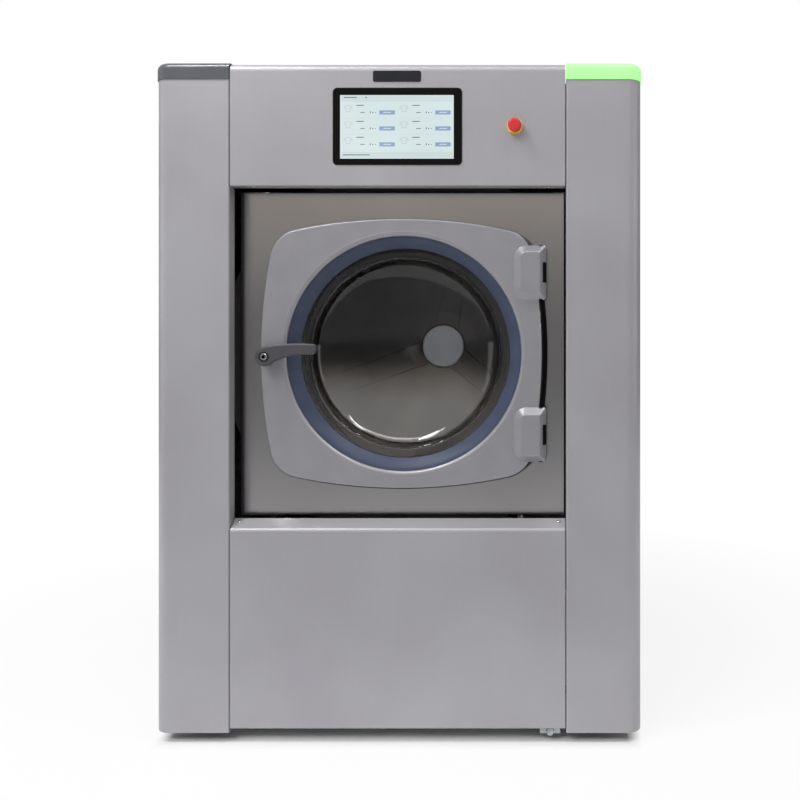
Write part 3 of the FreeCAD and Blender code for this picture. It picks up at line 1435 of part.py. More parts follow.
def motor_pulley():
    """Pulley with two cheeks, on the shaft that runs in the motor."""
    end = PULLEY_DEPTH + PULLEY_WIDTH
    belt_start = BELT_MIDDLE - BELT_WIDTH / 2 - MOTOR_PULLEY_CHEEK / 2
    belt_end = BELT_MIDDLE + BELT_WIDTH / 2 + MOTOR_PULLEY_CHEEK / 2
    cheek = MOTOR_PULLEY_RADIUS + MOTOR_PULLEY_FLANGE
    shaft_start = MOTOR_REAR_DEPTH - MOTOR_SHAFT_SEAT + RUNNING_FIT
    return motor_turned(
        [
            (0, shaft_start),
            (MOTOR_SHAFT_RADIUS, shaft_start),
            (MOTOR_SHAFT_RADIUS, belt_start - MOTOR_PULLEY_CHEEK),
            (cheek, belt_start - MOTOR_PULLEY_CHEEK),
            (cheek, belt_start),
            (MOTOR_PULLEY_RADIUS, belt_start),
            (MOTOR_PULLEY_RADIUS, belt_end),
            (cheek, belt_end),
            (cheek, belt_end + MOTOR_PULLEY_CHEEK),
            (MOTOR_SHAFT_RADIUS, belt_end + MOTOR_PULLEY_CHEEK),
            (MOTOR_SHAFT_RADIUS, end),
            (0, end),
        ]
    )


def heater_centres():
    middle = (DRUM_RADIUS + TUB_RADIUS) / 2
    first = -90.0 - HEATER_STEP_ANGLE * (HEATER_COUNT - 1) / 2
    angles = [math.radians(first + HEATER_STEP_ANGLE * k) for k in range(HEATER_COUNT)]
    return [(AXIS_X + middle * math.cos(a), AXIS_Z + middle * math.sin(a)) for a in angles]


def heater_legs():
    return [(x + side * HEATER_BEND, z) for x, z in heater_centres() for side in (-1, 1)]


def heaters():
    """Hairpin elements in the bottom of the tub, each with a flange outside the tub back."""
    elements = []
    end = TUB_BACK_DEPTH + HEATER_FLANGE
    for x, z in heater_centres():
        points = [
            (x - HEATER_BEND, end),
            (x - HEATER_BEND, HEATER_FRONT_DEPTH, HEATER_BEND),
            (x + HEATER_BEND, HEATER_FRONT_DEPTH, HEATER_BEND),
            (x + HEATER_BEND, end),
        ]
        path = Part.Wire(rounded_edges(points, floor_plane(z), closed=False))
        ring = Part.Wire(Part.makeCircle(HEATER_RADIUS, at(x - HEATER_BEND, end, z), BACK))
        rod = path.makePipeShell([ring], True, False)
        flange = rod_back(x, z, HEATER_FLANGE_RADIUS, TUB_BACK_DEPTH, end)
        elements.append(joined([rod, flange]))
    return elements


def hinge_heights():
    return [AXIS_Z + HINGE_SPREAD, AXIS_Z - HINGE_SPREAD]


def hinge_brackets():
    """Plate on the tub front panel with an arm and the eye that holds the hinge pin."""
    brackets = []
    plate_front = TUB_PANEL_DEPTH - HINGE_PLATE
    eye_half = HINGE_EYE_HEIGHT / 2
    for z in hinge_heights():
        half = HINGE_PLATE_HEIGHT / 2
        plate = box(
            (HINGE_PLATE_LEFT, HINGE_PLATE_RIGHT), (plate_front, TUB_PANEL_DEPTH), (z - half, z + half)
        )
        arm = box(
            (HINGE_X - HINGE_ARM / 2, HINGE_X + HINGE_ARM / 2),
            (HINGE_DEPTH, plate_front),
            (z - eye_half, z + eye_half),
        )
        eye = rod_up(HINGE_X, HINGE_DEPTH, HINGE_EYE_RADIUS, z - eye_half, z + eye_half)
        hole = rod_up(HINGE_X, HINGE_DEPTH, HINGE_PIN_RADIUS, z - eye_half, z + eye_half)
        brackets.append(joined([plate, arm, eye]).cut(hole))
    return brackets


def hinge_pins():
    half = HINGE_BLOCK_HEIGHT / 2
    return [rod_up(HINGE_X, HINGE_DEPTH, HINGE_PIN_RADIUS, z - half, z + half) for z in hinge_heights()]


def barrel(middle_x, inset, start, end):
    """Plate with the barrel-shaped outline of the door, drawn in by the inset, and rounded corners."""
    half_w = DOOR_WIDTH / 2 - inset
    half_h = DOOR_HEIGHT / 2 - inset
    cx = DOOR_CORNER_X - inset
    cz = DOOR_CORNER_Z - inset
    loop = [(-cx, cz), (0, half_h), (cx, cz), (half_w, 0), (cx, -cz), (0, -half_h), (-cx, -cz), (-half_w, 0)]
    spots = [at(middle_x + x, start, AXIS_Z + z) for x, z in loop]
    spots.append(spots[0])
    arcs = [Part.Arc(*spots[k:k + 3]).toShape() for k in (0, 2, 4, 6)]
    plate = Part.Face(Part.Wire(arcs)).extrude(BACK * (end - start))
    corners = [edge for edge in plate.Edges if edge.BoundBox.XLength < NEAR and edge.BoundBox.ZLength < NEAR]
    return plate.makeFillet(DOOR_CORNER, corners)


def front_wire(plate):
    return min(plate.Faces, key=lambda side: side.CenterOfMass.y).OuterWire


def door_slab():
    """Plate of the door with a rounded front edge, and its hinge side flared out towards the back."""
    slab = barrel(DOOR_X, 0.0, DOOR_FRONT_DEPTH, DOOR_BACK_DEPTH)
    slab = slab.makeFillet(DOOR_EDGE, front_wire(slab).Edges)
    inset = DOOR_FLARE_INSET
    flare_front = barrel(DOOR_X, inset, DOOR_FRONT_DEPTH + DOOR_EDGE, DOOR_BACK_DEPTH)
    flare_back = barrel(DOOR_X + DOOR_FLARE + inset, inset, DOOR_FLARE_DEPTH, DOOR_BACK_DEPTH)
    flare = Part.makeLoft([front_wire(flare_front), front_wire(flare_back)], True, True)
    return joined([slab, flare])


def pad_outline(left, right, half_height, left_corner, right_corner, z):
    """Outline of a hinge block: rounder at the left, where it runs into the door."""
    return [
        (left, z - half_height, left_corner),
        (right, z - half_height, right_corner),
        (right, z + half_height, right_corner),
        (left, z + half_height, left_corner),
    ]


def hinge_block(z):
    """Cast cover over a hinge: a pad with sloped sides, carried back past the edge of the door."""
    half = HINGE_BLOCK_HEIGHT / 2
    slope = HINGE_BLOCK_SLOPE
    right = HINGE_X + HINGE_EYE_RADIUS
    edge = HINGE_BLOCK_EDGE
    base = pad_outline(HINGE_BLOCK_LEFT, right, half, HINGE_BLOCK_CORNER, edge, z)
    top = pad_outline(
        HINGE_BLOCK_LEFT + slope,
        right - HINGE_BLOCK_DRAFT,
        half - slope,
        HINGE_BLOCK_CORNER - slope,
        edge / 2,
        z,
    )
    wires = [
        Part.Wire(rounded_edges(base, front_plane(DOOR_FRONT_DEPTH))),
        Part.Wire(rounded_edges(top, front_plane(HINGE_BLOCK_FRONT))),
    ]
    pad = Part.makeLoft(wires, True, True)
    front = FRONT_Y + HINGE_BLOCK_FRONT
    rim = [rim_edge for rim_edge in pad.Edges if abs(rim_edge.BoundBox.YMax - front) < NEAR]
    pad = pad.makeFillet(HINGE_BLOCK_ROUND, rim)
    heel = pad_outline(HINGE_X - 2 * HINGE_EYE_RADIUS, right, half, edge, edge, z)
    heel_depth = DOOR_BACK_DEPTH - DOOR_FRONT_DEPTH
    return [pad, face(heel, front_plane(DOOR_FRONT_DEPTH)).extrude(BACK * heel_depth)]


def hinge_slot(z):
    """Room in a hinge block for the eye and for its arm as the door swings."""
    half = HINGE_EYE_HEIGHT / 2 + HINGE_SLOT_CLEARANCE
    reach = HINGE_EYE_RADIUS + HINGE_SLOT_CLEARANCE
    far = HINGE_X + 4 * HINGE_EYE_RADIUS
    eye = rod_up(HINGE_X, HINGE_DEPTH, reach, z - half, z + half)
    rear = box((HINGE_X - reach, far), (HINGE_DEPTH, DOOR_BACK_DEPTH), (z - half, z + half))
    side = box((HINGE_X, far), (HINGE_DEPTH - reach, DOOR_BACK_DEPTH), (z - half, z + half))
    return joined([eye, rear, side])


def door_frame():
    blocks = [piece for z in hinge_heights() for piece in hinge_block(z)]
    frame = joined([door_slab()] + blocks)
    hole = rod_back(AXIS_X, AXIS_Z, DOOR_HOLE_RADIUS, 0, DOOR_BACK_DEPTH)
    rebate = rod_back(AXIS_X, AXIS_Z, DOOR_HOLE_RADIUS + DOOR_REBATE, DOOR_REBATE_DEPTH, DOOR_BACK_DEPTH)
    frame = frame.cut(hole)
    rim_depth = FRONT_Y + DOOR_FRONT_DEPTH
    rim = [
        edge
        for edge in frame.Edges
        if abs(edge.BoundBox.YMax - rim_depth) < NEAR
        and edge.BoundBox.YLength < NEAR
        and isinstance(edge.Curve, Part.Circle)
        and abs(edge.Curve.Radius - DOOR_HOLE_RADIUS) < NEAR
    ]
    frame = frame.makeFillet(DOOR_HOLE_EDGE, rim).cut(rebate)
    half = HINGE_BLOCK_HEIGHT / 2
    for z in hinge_heights():
        pin = rod_up(HINGE_X, HINGE_DEPTH, HINGE_PIN_RADIUS + RUNNING_FIT, z - half, z + half)
        frame = frame.cut(hinge_slot(z)).cut(pin)
    shaft = rod_back(LEVER_X, LEVER_Z, LEVER_SHAFT_RADIUS + RUNNING_FIT, 0, DOOR_BACK_DEPTH)
    return frame.cut(shaft)


def door_glass():
    line = [
        (GLASS_FLANGE_RADIUS, GLASS_FLANGE_DEPTH),
        (GLASS_STEP_RADIUS, GLASS_FLANGE_DEPTH, GLASS_STEP_BEND),
        (GLASS_BOWL_RADIUS, GLASS_BOWL_DEPTH, GLASS_BOWL_BEND),
        (0, GLASS_CENTRE_DEPTH),
    ]
    return turned(sheet_face(line, -GLASS_THICKNESS, drum_plane))


def door_gasket():
    """Ring that holds the rim of the glass in a groove and seals against the mouth of the tub."""
    outer = DOOR_HOLE_RADIUS + DOOR_REBATE - GASKET_FIT
    groove = GLASS_FLANGE_RADIUS + GASKET_FIT
    glass_front = GLASS_FLANGE_DEPTH - GASKET_FIT
    glass_back = GLASS_FLANGE_DEPTH + GLASS_THICKNESS + GASKET_FIT
    front = DOOR_REBATE_DEPTH
    seal = TUB_PANEL_DEPTH - MOUTH_PROUD - GASKET_FIT
    mouth = MOUTH_RADIUS + MOUTH_WALL / 2
    return turned_points(
        [
            (outer, front),
            (DOOR_HOLE_RADIUS - GASKET_FIT, front),
            (GASKET_INNER_RADIUS, glass_front),
            (groove, glass_front),
            (groove, glass_back),
            (GASKET_INNER_RADIUS, glass_back),
            (mouth - GASKET_LIP_WIDTH / 2, seal, GASKET_LIP_EDGE),
            (mouth + GASKET_LIP_WIDTH / 2, seal, GASKET_LIP_EDGE),
            (outer - CLAMP_LAP, DOOR_BACK_DEPTH),
            (outer, DOOR_BACK_DEPTH),
        ]
    )


def glass_clamp_ring():
    inner = DOOR_HOLE_RADIUS + DOOR_REBATE - CLAMP_LAP
    end = DOOR_BACK_DEPTH + CLAMP_THICKNESS
    return turned_points(
        [
            (inner, DOOR_BACK_DEPTH),
            (inner + CLAMP_WIDTH, DOOR_BACK_DEPTH),
            (inner + CLAMP_WIDTH, end),
            (inner, end),
        ]
    )


def on_boss(angle):
    """Point on the round boss of the lever, from its pivot."""
    turn = math.radians(angle)
    return (LEVER_BOSS_RADIUS * math.cos(turn), LEVER_BOSS_RADIUS * math.sin(turn))


def lever_outline():
    """Front view of the lever: a round boss that runs into an arched grip."""
    upper_start = on_boss(LEVER_TOP_ANGLE)
    upper_middle = (LEVER_CROWN_X, LEVER_LIFT + LEVER_CROWN)
    tip_top = (LEVER_LENGTH - LEVER_EDGE, LEVER_LIFT)
    tip = (LEVER_LENGTH, LEVER_TIP_LIFT)
    tip_low = (LEVER_LENGTH - LEVER_EDGE * 2, LEVER_LIFT - LEVER_GRIP)
    lower_middle = (LEVER_HOLLOW_X, LEVER_LIFT - LEVER_GRIP - LEVER_HOLLOW)
    lower_end = on_boss(LEVER_NECK_ANGLE)
    far_side = on_boss((LEVER_TOP_ANGLE + LEVER_NECK_ANGLE + 360.0) / 2)

    def spot(point):
        return at(LEVER_X + point[0], LEVER_FRONT, LEVER_Z + point[1])

    edges = [
        Part.Arc(spot(upper_start), spot(upper_middle), spot(tip_top)).toShape(),
        Part.Arc(spot(tip_top), spot(tip), spot(tip_low)).toShape(),
        Part.Arc(spot(tip_low), spot(lower_middle), spot(lower_end)).toShape(),
        Part.Arc(spot(lower_end), spot(far_side), spot(upper_start)).toShape(),
    ]
    return Part.Face(Part.Wire(edges))


def door_lever():
    """Lever with its standoff and the latch shaft, which has a groove for the lock bolt."""
    grip = lever_outline().extrude(BACK * LEVER_THICKNESS)
    rims = [edge for edge in grip.Edges if edge.BoundBox.YLength < NEAR]
    grip = grip.makeFillet(LEVER_EDGE, rims)
    back = LEVER_FRONT + LEVER_THICKNESS
    seat = DOOR_FRONT_DEPTH - LEVER_GAP
    standoff = rod_back(LEVER_X, LEVER_Z, LEVER_STANDOFF_RADIUS, back - LEVER_EDGE, seat)
    shaft = rod_back(LEVER_X, LEVER_Z, LEVER_SHAFT_RADIUS, back, LEVER_SHAFT_END)
    groove_end = LEVER_GROOVE_DEPTH + LEVER_GROOVE_WIDTH
    groove = rod_back(LEVER_X, LEVER_Z, 2 * LEVER_SHAFT_RADIUS, LEVER_GROOVE_DEPTH, groove_end).cut(
        rod_back(LEVER_X, LEVER_Z, LEVER_GROOVE_RADIUS, LEVER_GROOVE_DEPTH, groove_end)
    )
    return joined([grip, standoff, shaft]).cut(groove)


def bolt_depth():
    return LEVER_GROOVE_DEPTH + (LEVER_GROOVE_WIDTH - BOLT_THICKNESS) / 2


def lock_bolt():
    """Forked plate above the latch shaft, drawn back."""
    half = BOLT_WIDTH / 2
    bottom = LEVER_Z + BOLT_START
    depths = (bolt_depth(), bolt_depth() + BOLT_THICKNESS)
    plate = box((LEVER_X - half, LEVER_X + half), depths, (bottom, bottom + BOLT_HEIGHT))
    slot_half = LEVER_GROOVE_RADIUS + BOLT_SLOT_CLEARANCE
    slot_top = bottom + BOLT_TRAVEL - BOLT_START + slot_half
    round_top = rod_back(LEVER_X, bottom + BOLT_TRAVEL - BOLT_START, slot_half, depths[0], depths[1])
    slot = box((LEVER_X - slot_half, LEVER_X + slot_half), depths, (bottom, slot_top - slot_half))
    return plate.cut(joined([slot, round_top]))


def lock_housing():
    """Closed block behind the tub front panel, with the way of the latch shaft and of the bolt."""
    start = TUB_PANEL_DEPTH + TUB_PANEL_SHEET
    end = start + LOCK_LENGTH
    half = LOCK_WIDTH / 2
    block = box((LEVER_X - half, LEVER_X + half), (start, end), (LEVER_Z - LOCK_BOTTOM, LEVER_Z + LOCK_TOP))
    rear = [edge for edge in block.Edges if abs(edge.CenterOfMass.y - FRONT_Y - end) < NEAR]
    block = block.makeFillet(LOCK_EDGE, rear)
    way = rod_back(LEVER_X, LEVER_Z, LOCK_HOLE_RADIUS, start, LEVER_SHAFT_END + BOLT_FIT)
    bolt_half = BOLT_WIDTH / 2 + BOLT_FIT
    channel = box(
        (LEVER_X - bolt_half, LEVER_X + bolt_half),
        (bolt_depth() - BOLT_FIT, bolt_depth() + BOLT_THICKNESS + BOLT_FIT),
        (
            LEVER_Z + BOLT_START - BOLT_TRAVEL - BOLT_FIT,
            LEVER_Z + BOLT_START + BOLT_HEIGHT + BOLT_FIT,
        ),
    )
    return block.cut(joined([way, channel]))


def save(name, shape):
    """Write one node, given as a solid or as a list of separate solids."""
    solids = []
    for piece in shape if isinstance(shape, list) else [shape]:
        solids.extend(piece.Solids)
    result = solids[0] if len(solids) == 1 else Part.makeCompound(solids)
    result.exportStep("parts/" + name + ".step")


def main():
    os.makedirs("parts", exist_ok=True)
    makers = [
        base_rails, base_crossbars, levelling_feet, upper_frame, right_column, header_panel,
        display_glass, display_module, estop_collar, estop_contact_block, estop_stem, estop_head,
        lower_panel, panel_bracket, right_side_panel, top_panel, rear_panel, belt_cover,
        inlet_valves, fill_hoses, drain_outlet, drain_hose, drain_valve, cable_gland, control_box,
        damper_tubes, damper_rods, suspension_springs, tub_cradles, outer_tub, tub_front_ring,
        tub_front_panel, drum_shell, drum_back, hub_cover, drum_lifters, spider_shaft,
        bearing_housing, shaft_bearings, shaft_seal, drum_pulley, drive_belt, motor,
        motor_bracket, motor_pulley, heaters, hinge_brackets, hinge_pins, door_frame,
        door_glass, door_gasket, glass_clamp_ring, door_lever, lock_bolt, lock_housing,
    ]
    for maker in makers:
        save(maker.__name__, maker())
    save("left_column", mirrored(right_column()))
    save("left_side_panel", mirrored(right_side_panel()))
    save("left_cap", mirrored(right_cap()))
    save("status_light", right_cap())


main()
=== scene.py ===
import math

import bmesh
import bpy
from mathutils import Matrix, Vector


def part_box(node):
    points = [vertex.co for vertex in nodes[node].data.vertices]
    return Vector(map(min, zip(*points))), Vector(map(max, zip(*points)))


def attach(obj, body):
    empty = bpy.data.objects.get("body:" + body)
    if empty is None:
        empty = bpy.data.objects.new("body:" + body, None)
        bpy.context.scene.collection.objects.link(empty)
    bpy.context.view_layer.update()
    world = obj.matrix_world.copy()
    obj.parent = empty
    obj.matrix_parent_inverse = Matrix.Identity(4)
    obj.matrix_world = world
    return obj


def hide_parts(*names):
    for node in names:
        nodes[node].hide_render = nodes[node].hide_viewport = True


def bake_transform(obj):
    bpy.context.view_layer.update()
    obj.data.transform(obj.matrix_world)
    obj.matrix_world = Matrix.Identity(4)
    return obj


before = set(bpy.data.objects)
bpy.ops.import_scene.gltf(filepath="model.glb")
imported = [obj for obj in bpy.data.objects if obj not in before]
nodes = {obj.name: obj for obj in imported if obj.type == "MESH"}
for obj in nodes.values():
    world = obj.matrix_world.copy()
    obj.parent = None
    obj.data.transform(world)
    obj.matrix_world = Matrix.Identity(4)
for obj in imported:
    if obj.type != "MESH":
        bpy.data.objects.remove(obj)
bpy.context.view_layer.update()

MM = 0.001
FRONT = Vector((0, -1, 0))
REAR = Vector((0, 1, 0))
UP = Vector((0, 0, 1))
DOWN = Vector((0, 0, -1))
RIGHT = Vector((1, 0, 0))
LEFT = Vector((-1, 0, 0))


def middle(node):
    low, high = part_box(node)
    return (low + high) / 2


FRONT_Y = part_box("lower_panel")[0].y
AXIS_X = middle("hub_cover").x
AXIS_Z = middle("hub_cover").z


def linear(hex_colour):
    """Linear colour, with alpha 1, of an sRGB hex value."""
    channels = [int(hex_colour[i:i + 2], 16) / 255 for i in (1, 3, 5)]
    return tuple(c / 12.92 if c <= 0.04045 else ((c + 0.055) / 1.055) ** 2.4 for c in channels) + (1.0,)


def add(tree, kind, inputs=None, stops=(), **settings):
    """Adds a node with its settings. Inputs maps a socket to a value, or to the node or output that
    feeds it. Stops are the places and hex colours of a colour ramp."""
    made = tree.nodes.new(kind)
    for name, value in settings.items():
        setattr(made, name, value)
    for socket, value in (inputs or {}).items():
        if isinstance(value, bpy.types.Node):
            value = next(output for output in value.outputs if output.enabled)
        if isinstance(value, bpy.types.NodeSocket):
            tree.links.new(value, made.inputs[socket])
        else:
            made.inputs[socket].default_value = value
    for number, (place, colour) in enumerate(stops):
        points = made.color_ramp.elements
        point = points[number] if number < len(points) else points.new(place)
        point.position = place
        point.color = linear(colour)
    return made


def start_finish(name):
    """An empty material, its tree, and the place on the piece in metres."""
    finish = bpy.data.materials.new(name)
    finish.use_nodes = True
    tree = finish.node_tree
    tree.nodes.clear()
    return finish, tree, add(tree, "ShaderNodeTexCoord").outputs["Object"]


def per_mm(size):
    """Texture scale that gives features of this many millimetres."""
    return 1000.0 / size


def sheet_steel(name, tones, stretch, metallic, roughness, line_share):
    """Sheet steel ground with a belt: long fine lines one way, and broad soft clouds of tone.
    The lines are really 0.2 mm apart and are drawn 1.5 mm apart, so that they show."""
    finish, tree, place = start_finish(name)
    along = add(tree, "ShaderNodeMapping", {"Vector": place, "Scale": stretch})
    lines = add(
        tree, "ShaderNodeTexNoise",
        {"Vector": along, "Scale": per_mm(1.5), "Detail": 3.0, "Roughness": 0.6},
    )
    clouds = add(tree, "ShaderNodeTexNoise", {"Vector": place, "Scale": per_mm(260), "Detail": 2.0})
    both = add(tree, "ShaderNodeMix", {"Factor": line_share, "A": clouds, "B": lines}, data_type="FLOAT")
    tone = add(tree, "ShaderNodeValToRGB", {"Fac": both}, [(0.35, tones[0]), (0.65, tones[1])])
    gloss = add(
        tree, "ShaderNodeMapRange",
        {"Value": both, "To Min": roughness - 0.03, "To Max": roughness + 0.03},
    )
    bump = add(
        tree, "ShaderNodeBump", {"Height": lines, "Strength": line_share / 8, "Distance": 0.05 * MM},
    )
    shader = add(
        tree, "ShaderNodeBsdfPrincipled",
        {"Base Color": tone, "Metallic": metallic, "Roughness": gloss, "Normal": bump},
    )
    add(tree, "ShaderNodeOutputMaterial", {"Surface": shader})
    return finish


def spun_steel(name, tones, spread, roughness, pitch):
    """Stainless steel turned on a lathe: fine rings about the drum's axis, which spread light into
    a wedge. The rings are really 0.3 mm apart and are drawn coarser, so that they show."""
    finish, tree, place = start_finish(name)
    centred = add(
        tree, "ShaderNodeMapping",
        {"Vector": place, "Location": (-AXIS_X, 0, -AXIS_Z), "Scale": (1, 0, 1)},
    )
    radius = add(tree, "ShaderNodeVectorMath", {0: centred}, operation="LENGTH")
    rings = add(
        tree, "ShaderNodeTexNoise",
        {"W": radius, "Scale": per_mm(pitch), "Detail": 4.0, "Roughness": 0.7}, noise_dimensions="1D",
    )
    clouds = add(tree, "ShaderNodeTexNoise", {"Vector": place, "Scale": per_mm(140), "Detail": 2.0})
    both = add(tree, "ShaderNodeMix", {"Factor": 0.6, "A": rings, "B": clouds}, data_type="FLOAT")
    tone = add(tree, "ShaderNodeValToRGB", {"Fac": both}, [(0.35, tones[0]), (0.65, tones[1])])
    gloss = add(
        tree, "ShaderNodeMapRange",
        {"Value": rings, "To Min": roughness - 0.05, "To Max": roughness + 0.07},
    )
    turn = add(tree, "ShaderNodeTangent", direction_type="RADIAL", axis="Y")
    shader = add(
        tree, "ShaderNodeBsdfPrincipled",
        {
            "Base Color": tone,
            "Metallic": 1.0,
            "Roughness": gloss,
            "Anisotropic": spread,
            "Anisotropic Rotation": 0.25,
            "Tangent": turn,
        },
    )
    add(tree, "ShaderNodeOutputMaterial", {"Surface": shader})
    return finish


HOLES_ROUND = 105
HOLE_ROWS = 19


def pierced_steel():
    """Stainless drum sheet with punched drain holes of 5 mm, 22 mm apart in staggered rows. The holes are
    painted near black as the shade seen through them.
    """
    finish, tree, place = start_finish("pierced_drum_stainless")
    centred = add(tree, "ShaderNodeMapping", {"Vector": place, "Location": (-AXIS_X, 0, -AXIS_Z)})
    axes = add(tree, "ShaderNodeSeparateXYZ", {0: centred}).outputs
    angle = add(tree, "ShaderNodeMath", {0: axes["X"], 1: axes["Z"]}, operation="ARCTAN2")
    row = add(tree, "ShaderNodeMath", {0: axes["Y"], 1: per_mm(HOLE_ROWS)}, operation="MULTIPLY")
    row_number = add(tree, "ShaderNodeMath", {0: row}, operation="FLOOR")
    stagger = add(tree, "ShaderNodeMath", {0: row_number, 1: 0.5}, operation="MULTIPLY")
    column = add(
        tree, "ShaderNodeMath", {0: angle, 1: HOLES_ROUND / math.tau, 2: stagger},
        operation="MULTIPLY_ADD",
    )
    cell = []
    for count in (column, row):
        part = add(tree, "ShaderNodeMath", {0: count}, operation="FRACT")
        cell.append(add(tree, "ShaderNodeMath", {0: part, 1: 0.5}, operation="SUBTRACT"))
    spot = add(tree, "ShaderNodeCombineXYZ", {"X": cell[0], "Y": cell[1]})
    reach = add(tree, "ShaderNodeVectorMath", {0: spot}, operation="LENGTH")
    wall = add(tree, "ShaderNodeMapRange", {"Value": reach, "From Min": 0.1, "From Max": 0.16})
    clouds = add(tree, "ShaderNodeTexNoise", {"Vector": place, "Scale": per_mm(60), "Detail": 3.0})
    tone = add(tree, "ShaderNodeValToRGB", {"Fac": clouds}, [(0.3, "#777674"), (0.7, "#8E8D8B")])
    # Near-black painted shade in the holes, for the dark seen through them.
    colour = add(
        tree, "ShaderNodeMix", {"Factor": wall, "A": linear("#101011"), "B": tone}, data_type="RGBA",
    )
    gloss = add(tree, "ShaderNodeMapRange", {"Value": clouds, "To Min": 0.22, "To Max": 0.34})
    bump = add(tree, "ShaderNodeBump", {"Height": wall, "Strength": 0.6, "Distance": 1.0 * MM})
    shader = add(
        tree, "ShaderNodeBsdfPrincipled",
        {"Base Color": colour, "Metallic": 1.0, "Roughness": gloss, "Normal": bump},
    )
    add(tree, "ShaderNodeOutputMaterial", {"Surface": shader})
    return finish


def zinc_coat():
    """Hot-dip galvanised steel: crystals of zinc about 14 mm wide, each a slightly different grey."""
    finish, tree, place = start_finish("galvanised_steel")
    crystals = add(tree, "ShaderNodeTexVoronoi", {"Vector": place, "Scale": per_mm(14)})
    shade = add(tree, "ShaderNodeSeparateColor", {0: crystals.outputs["Color"]})
    dust = add(tree, "ShaderNodeTexNoise", {"Vector": place, "Scale": per_mm(3), "Detail": 3.0})
    tone = add(tree, "ShaderNodeValToRGB", {"Fac": shade}, [(0.0, "#8F9296"), (1.0, "#B4B7BA")])
    gloss = add(tree, "ShaderNodeMapRange", {"Value": dust, "To Min": 0.36, "To Max": 0.56})
    shader = add(
        tree, "ShaderNodeBsdfPrincipled", {"Base Color": tone, "Metallic": 0.85, "Roughness": gloss},
    )
    add(tree, "ShaderNodeOutputMaterial", {"Surface": shader})
    return finish


DOOR_FACE_Y = FRONT_Y + 22 * MM
# How far from the door's middle its outer edge is, and how deep the round of that edge, where the painted
# shade lies.
EDGE_FROM = 256 * MM
EDGE_TO = 264 * MM
ROUND_FROM = DOOR_FACE_Y + 0.2 * MM
ROUND_TO = DOOR_FACE_Y + 1.0 * MM
DOOR_SLANT = AXIS_X - AXIS_Z
SLANT_REACH = 0.15


def painted_edge_shade(tree, place):
    """Share of painted shade on the door: on the round of its outer edge, most of it low and by the
    hinges.
    """
    spot = add(tree, "ShaderNodeSeparateXYZ", {"Vector": place}).outputs
    reach = add(
        tree, "ShaderNodeVectorMath", {0: place, 1: (AXIS_X, DOOR_FACE_Y, AXIS_Z)}, operation="DISTANCE",
    )
    outer = add(
        tree, "ShaderNodeMapRange", {"Value": reach, "From Min": EDGE_FROM, "From Max": EDGE_TO},
    )
    behind = add(
        tree, "ShaderNodeMapRange", {"Value": spot["Y"], "From Min": ROUND_FROM, "From Max": ROUND_TO},
    )
    round_edge = add(tree, "ShaderNodeMath", {0: outer, 1: behind}, operation="MULTIPLY")
    slant = add(tree, "ShaderNodeMath", {0: spot["X"], 1: spot["Z"]}, operation="SUBTRACT")
    low_right = add(
        tree, "ShaderNodeMapRange",
        {
            "Value": slant, "From Min": DOOR_SLANT - SLANT_REACH, "From Max": DOOR_SLANT + SLANT_REACH,
            "To Min": 0.35, "To Max": 0.97,
        },
    )
    return add(tree, "ShaderNodeMath", {0: round_edge, 1: low_right}, operation="MULTIPLY")


def grained(name, tones, grain, depth, roughness, metallic=0.0, coat=0.0, ior=1.5, painted_shade=None):
    """A moulded, cast or sprayed skin: grains of this many millimetres in tone, gloss and relief.
    If given, the last argument is a function that gives the share of a near-black painted shade on the
    piece."""
    finish, tree, place = start_finish(name)
    grains = add(tree, "ShaderNodeTexNoise", {"Vector": place, "Scale": per_mm(grain), "Detail": 4.0})
    clouds = add(tree, "ShaderNodeTexNoise", {"Vector": place, "Scale": per_mm(45), "Detail": 2.0})
    both = add(tree, "ShaderNodeMix", {"Factor": 0.4, "A": grains, "B": clouds}, data_type="FLOAT")
    tone = add(tree, "ShaderNodeValToRGB", {"Fac": both}, [(0.35, tones[0]), (0.65, tones[1])])
    # Where a shade share is given, a near-black painted shade is mixed into the tone.
    if painted_shade:
        share = painted_shade(tree, place)
        tone = add(tree, "ShaderNodeMix", {0: share, 6: tone, 7: linear("#0C0C0E")}, data_type="RGBA")
    gloss = add(
        tree, "ShaderNodeMapRange",
        {"Value": both, "To Min": roughness - 0.06, "To Max": roughness + 0.06},
    )
    bump = add(tree, "ShaderNodeBump", {"Height": grains, "Strength": 0.4, "Distance": depth * MM})
    values = {
        "Base Color": tone, "Metallic": metallic, "Roughness": gloss, "Coat Weight": coat, "Normal": bump,
    }
    if not metallic:
        values["IOR"] = ior
    shader = add(tree, "ShaderNodeBsdfPrincipled", values)
    add(tree, "ShaderNodeOutputMaterial", {"Surface": shader})
    return finish


def clear_glass():
    """Pressed borosilicate glass: clear, hardly tinted, with faint pressing waves.
    Rays from the lamps pass through, so that the drum behind it is lit."""
    finish, tree, place = start_finish("pressed_borosilicate_glass")
    waves = add(tree, "ShaderNodeTexNoise", {"Vector": place, "Scale": per_mm(55), "Detail": 1.0})
    bump = add(tree, "ShaderNodeBump", {"Height": waves, "Strength": 0.05, "Distance": 0.4 * MM})
    glass = add(
        tree, "ShaderNodeBsdfPrincipled",
        {
            "Base Color": linear("#F6F4F2"),
            "Roughness": 0.015,
            "IOR": 1.47,
            "Transmission Weight": 1.0,
            "Normal": bump,
        },
    )
    open_way = add(tree, "ShaderNodeBsdfTransparent", {"Color": linear("#EBE8E5")})
    path = add(tree, "ShaderNodeLightPath").outputs
    both = add(tree, "ShaderNodeMixShader", {0: path["Is Shadow Ray"], 1: glass, 2: open_way})
    add(tree, "ShaderNodeOutputMaterial", {"Surface": both})
    return finish


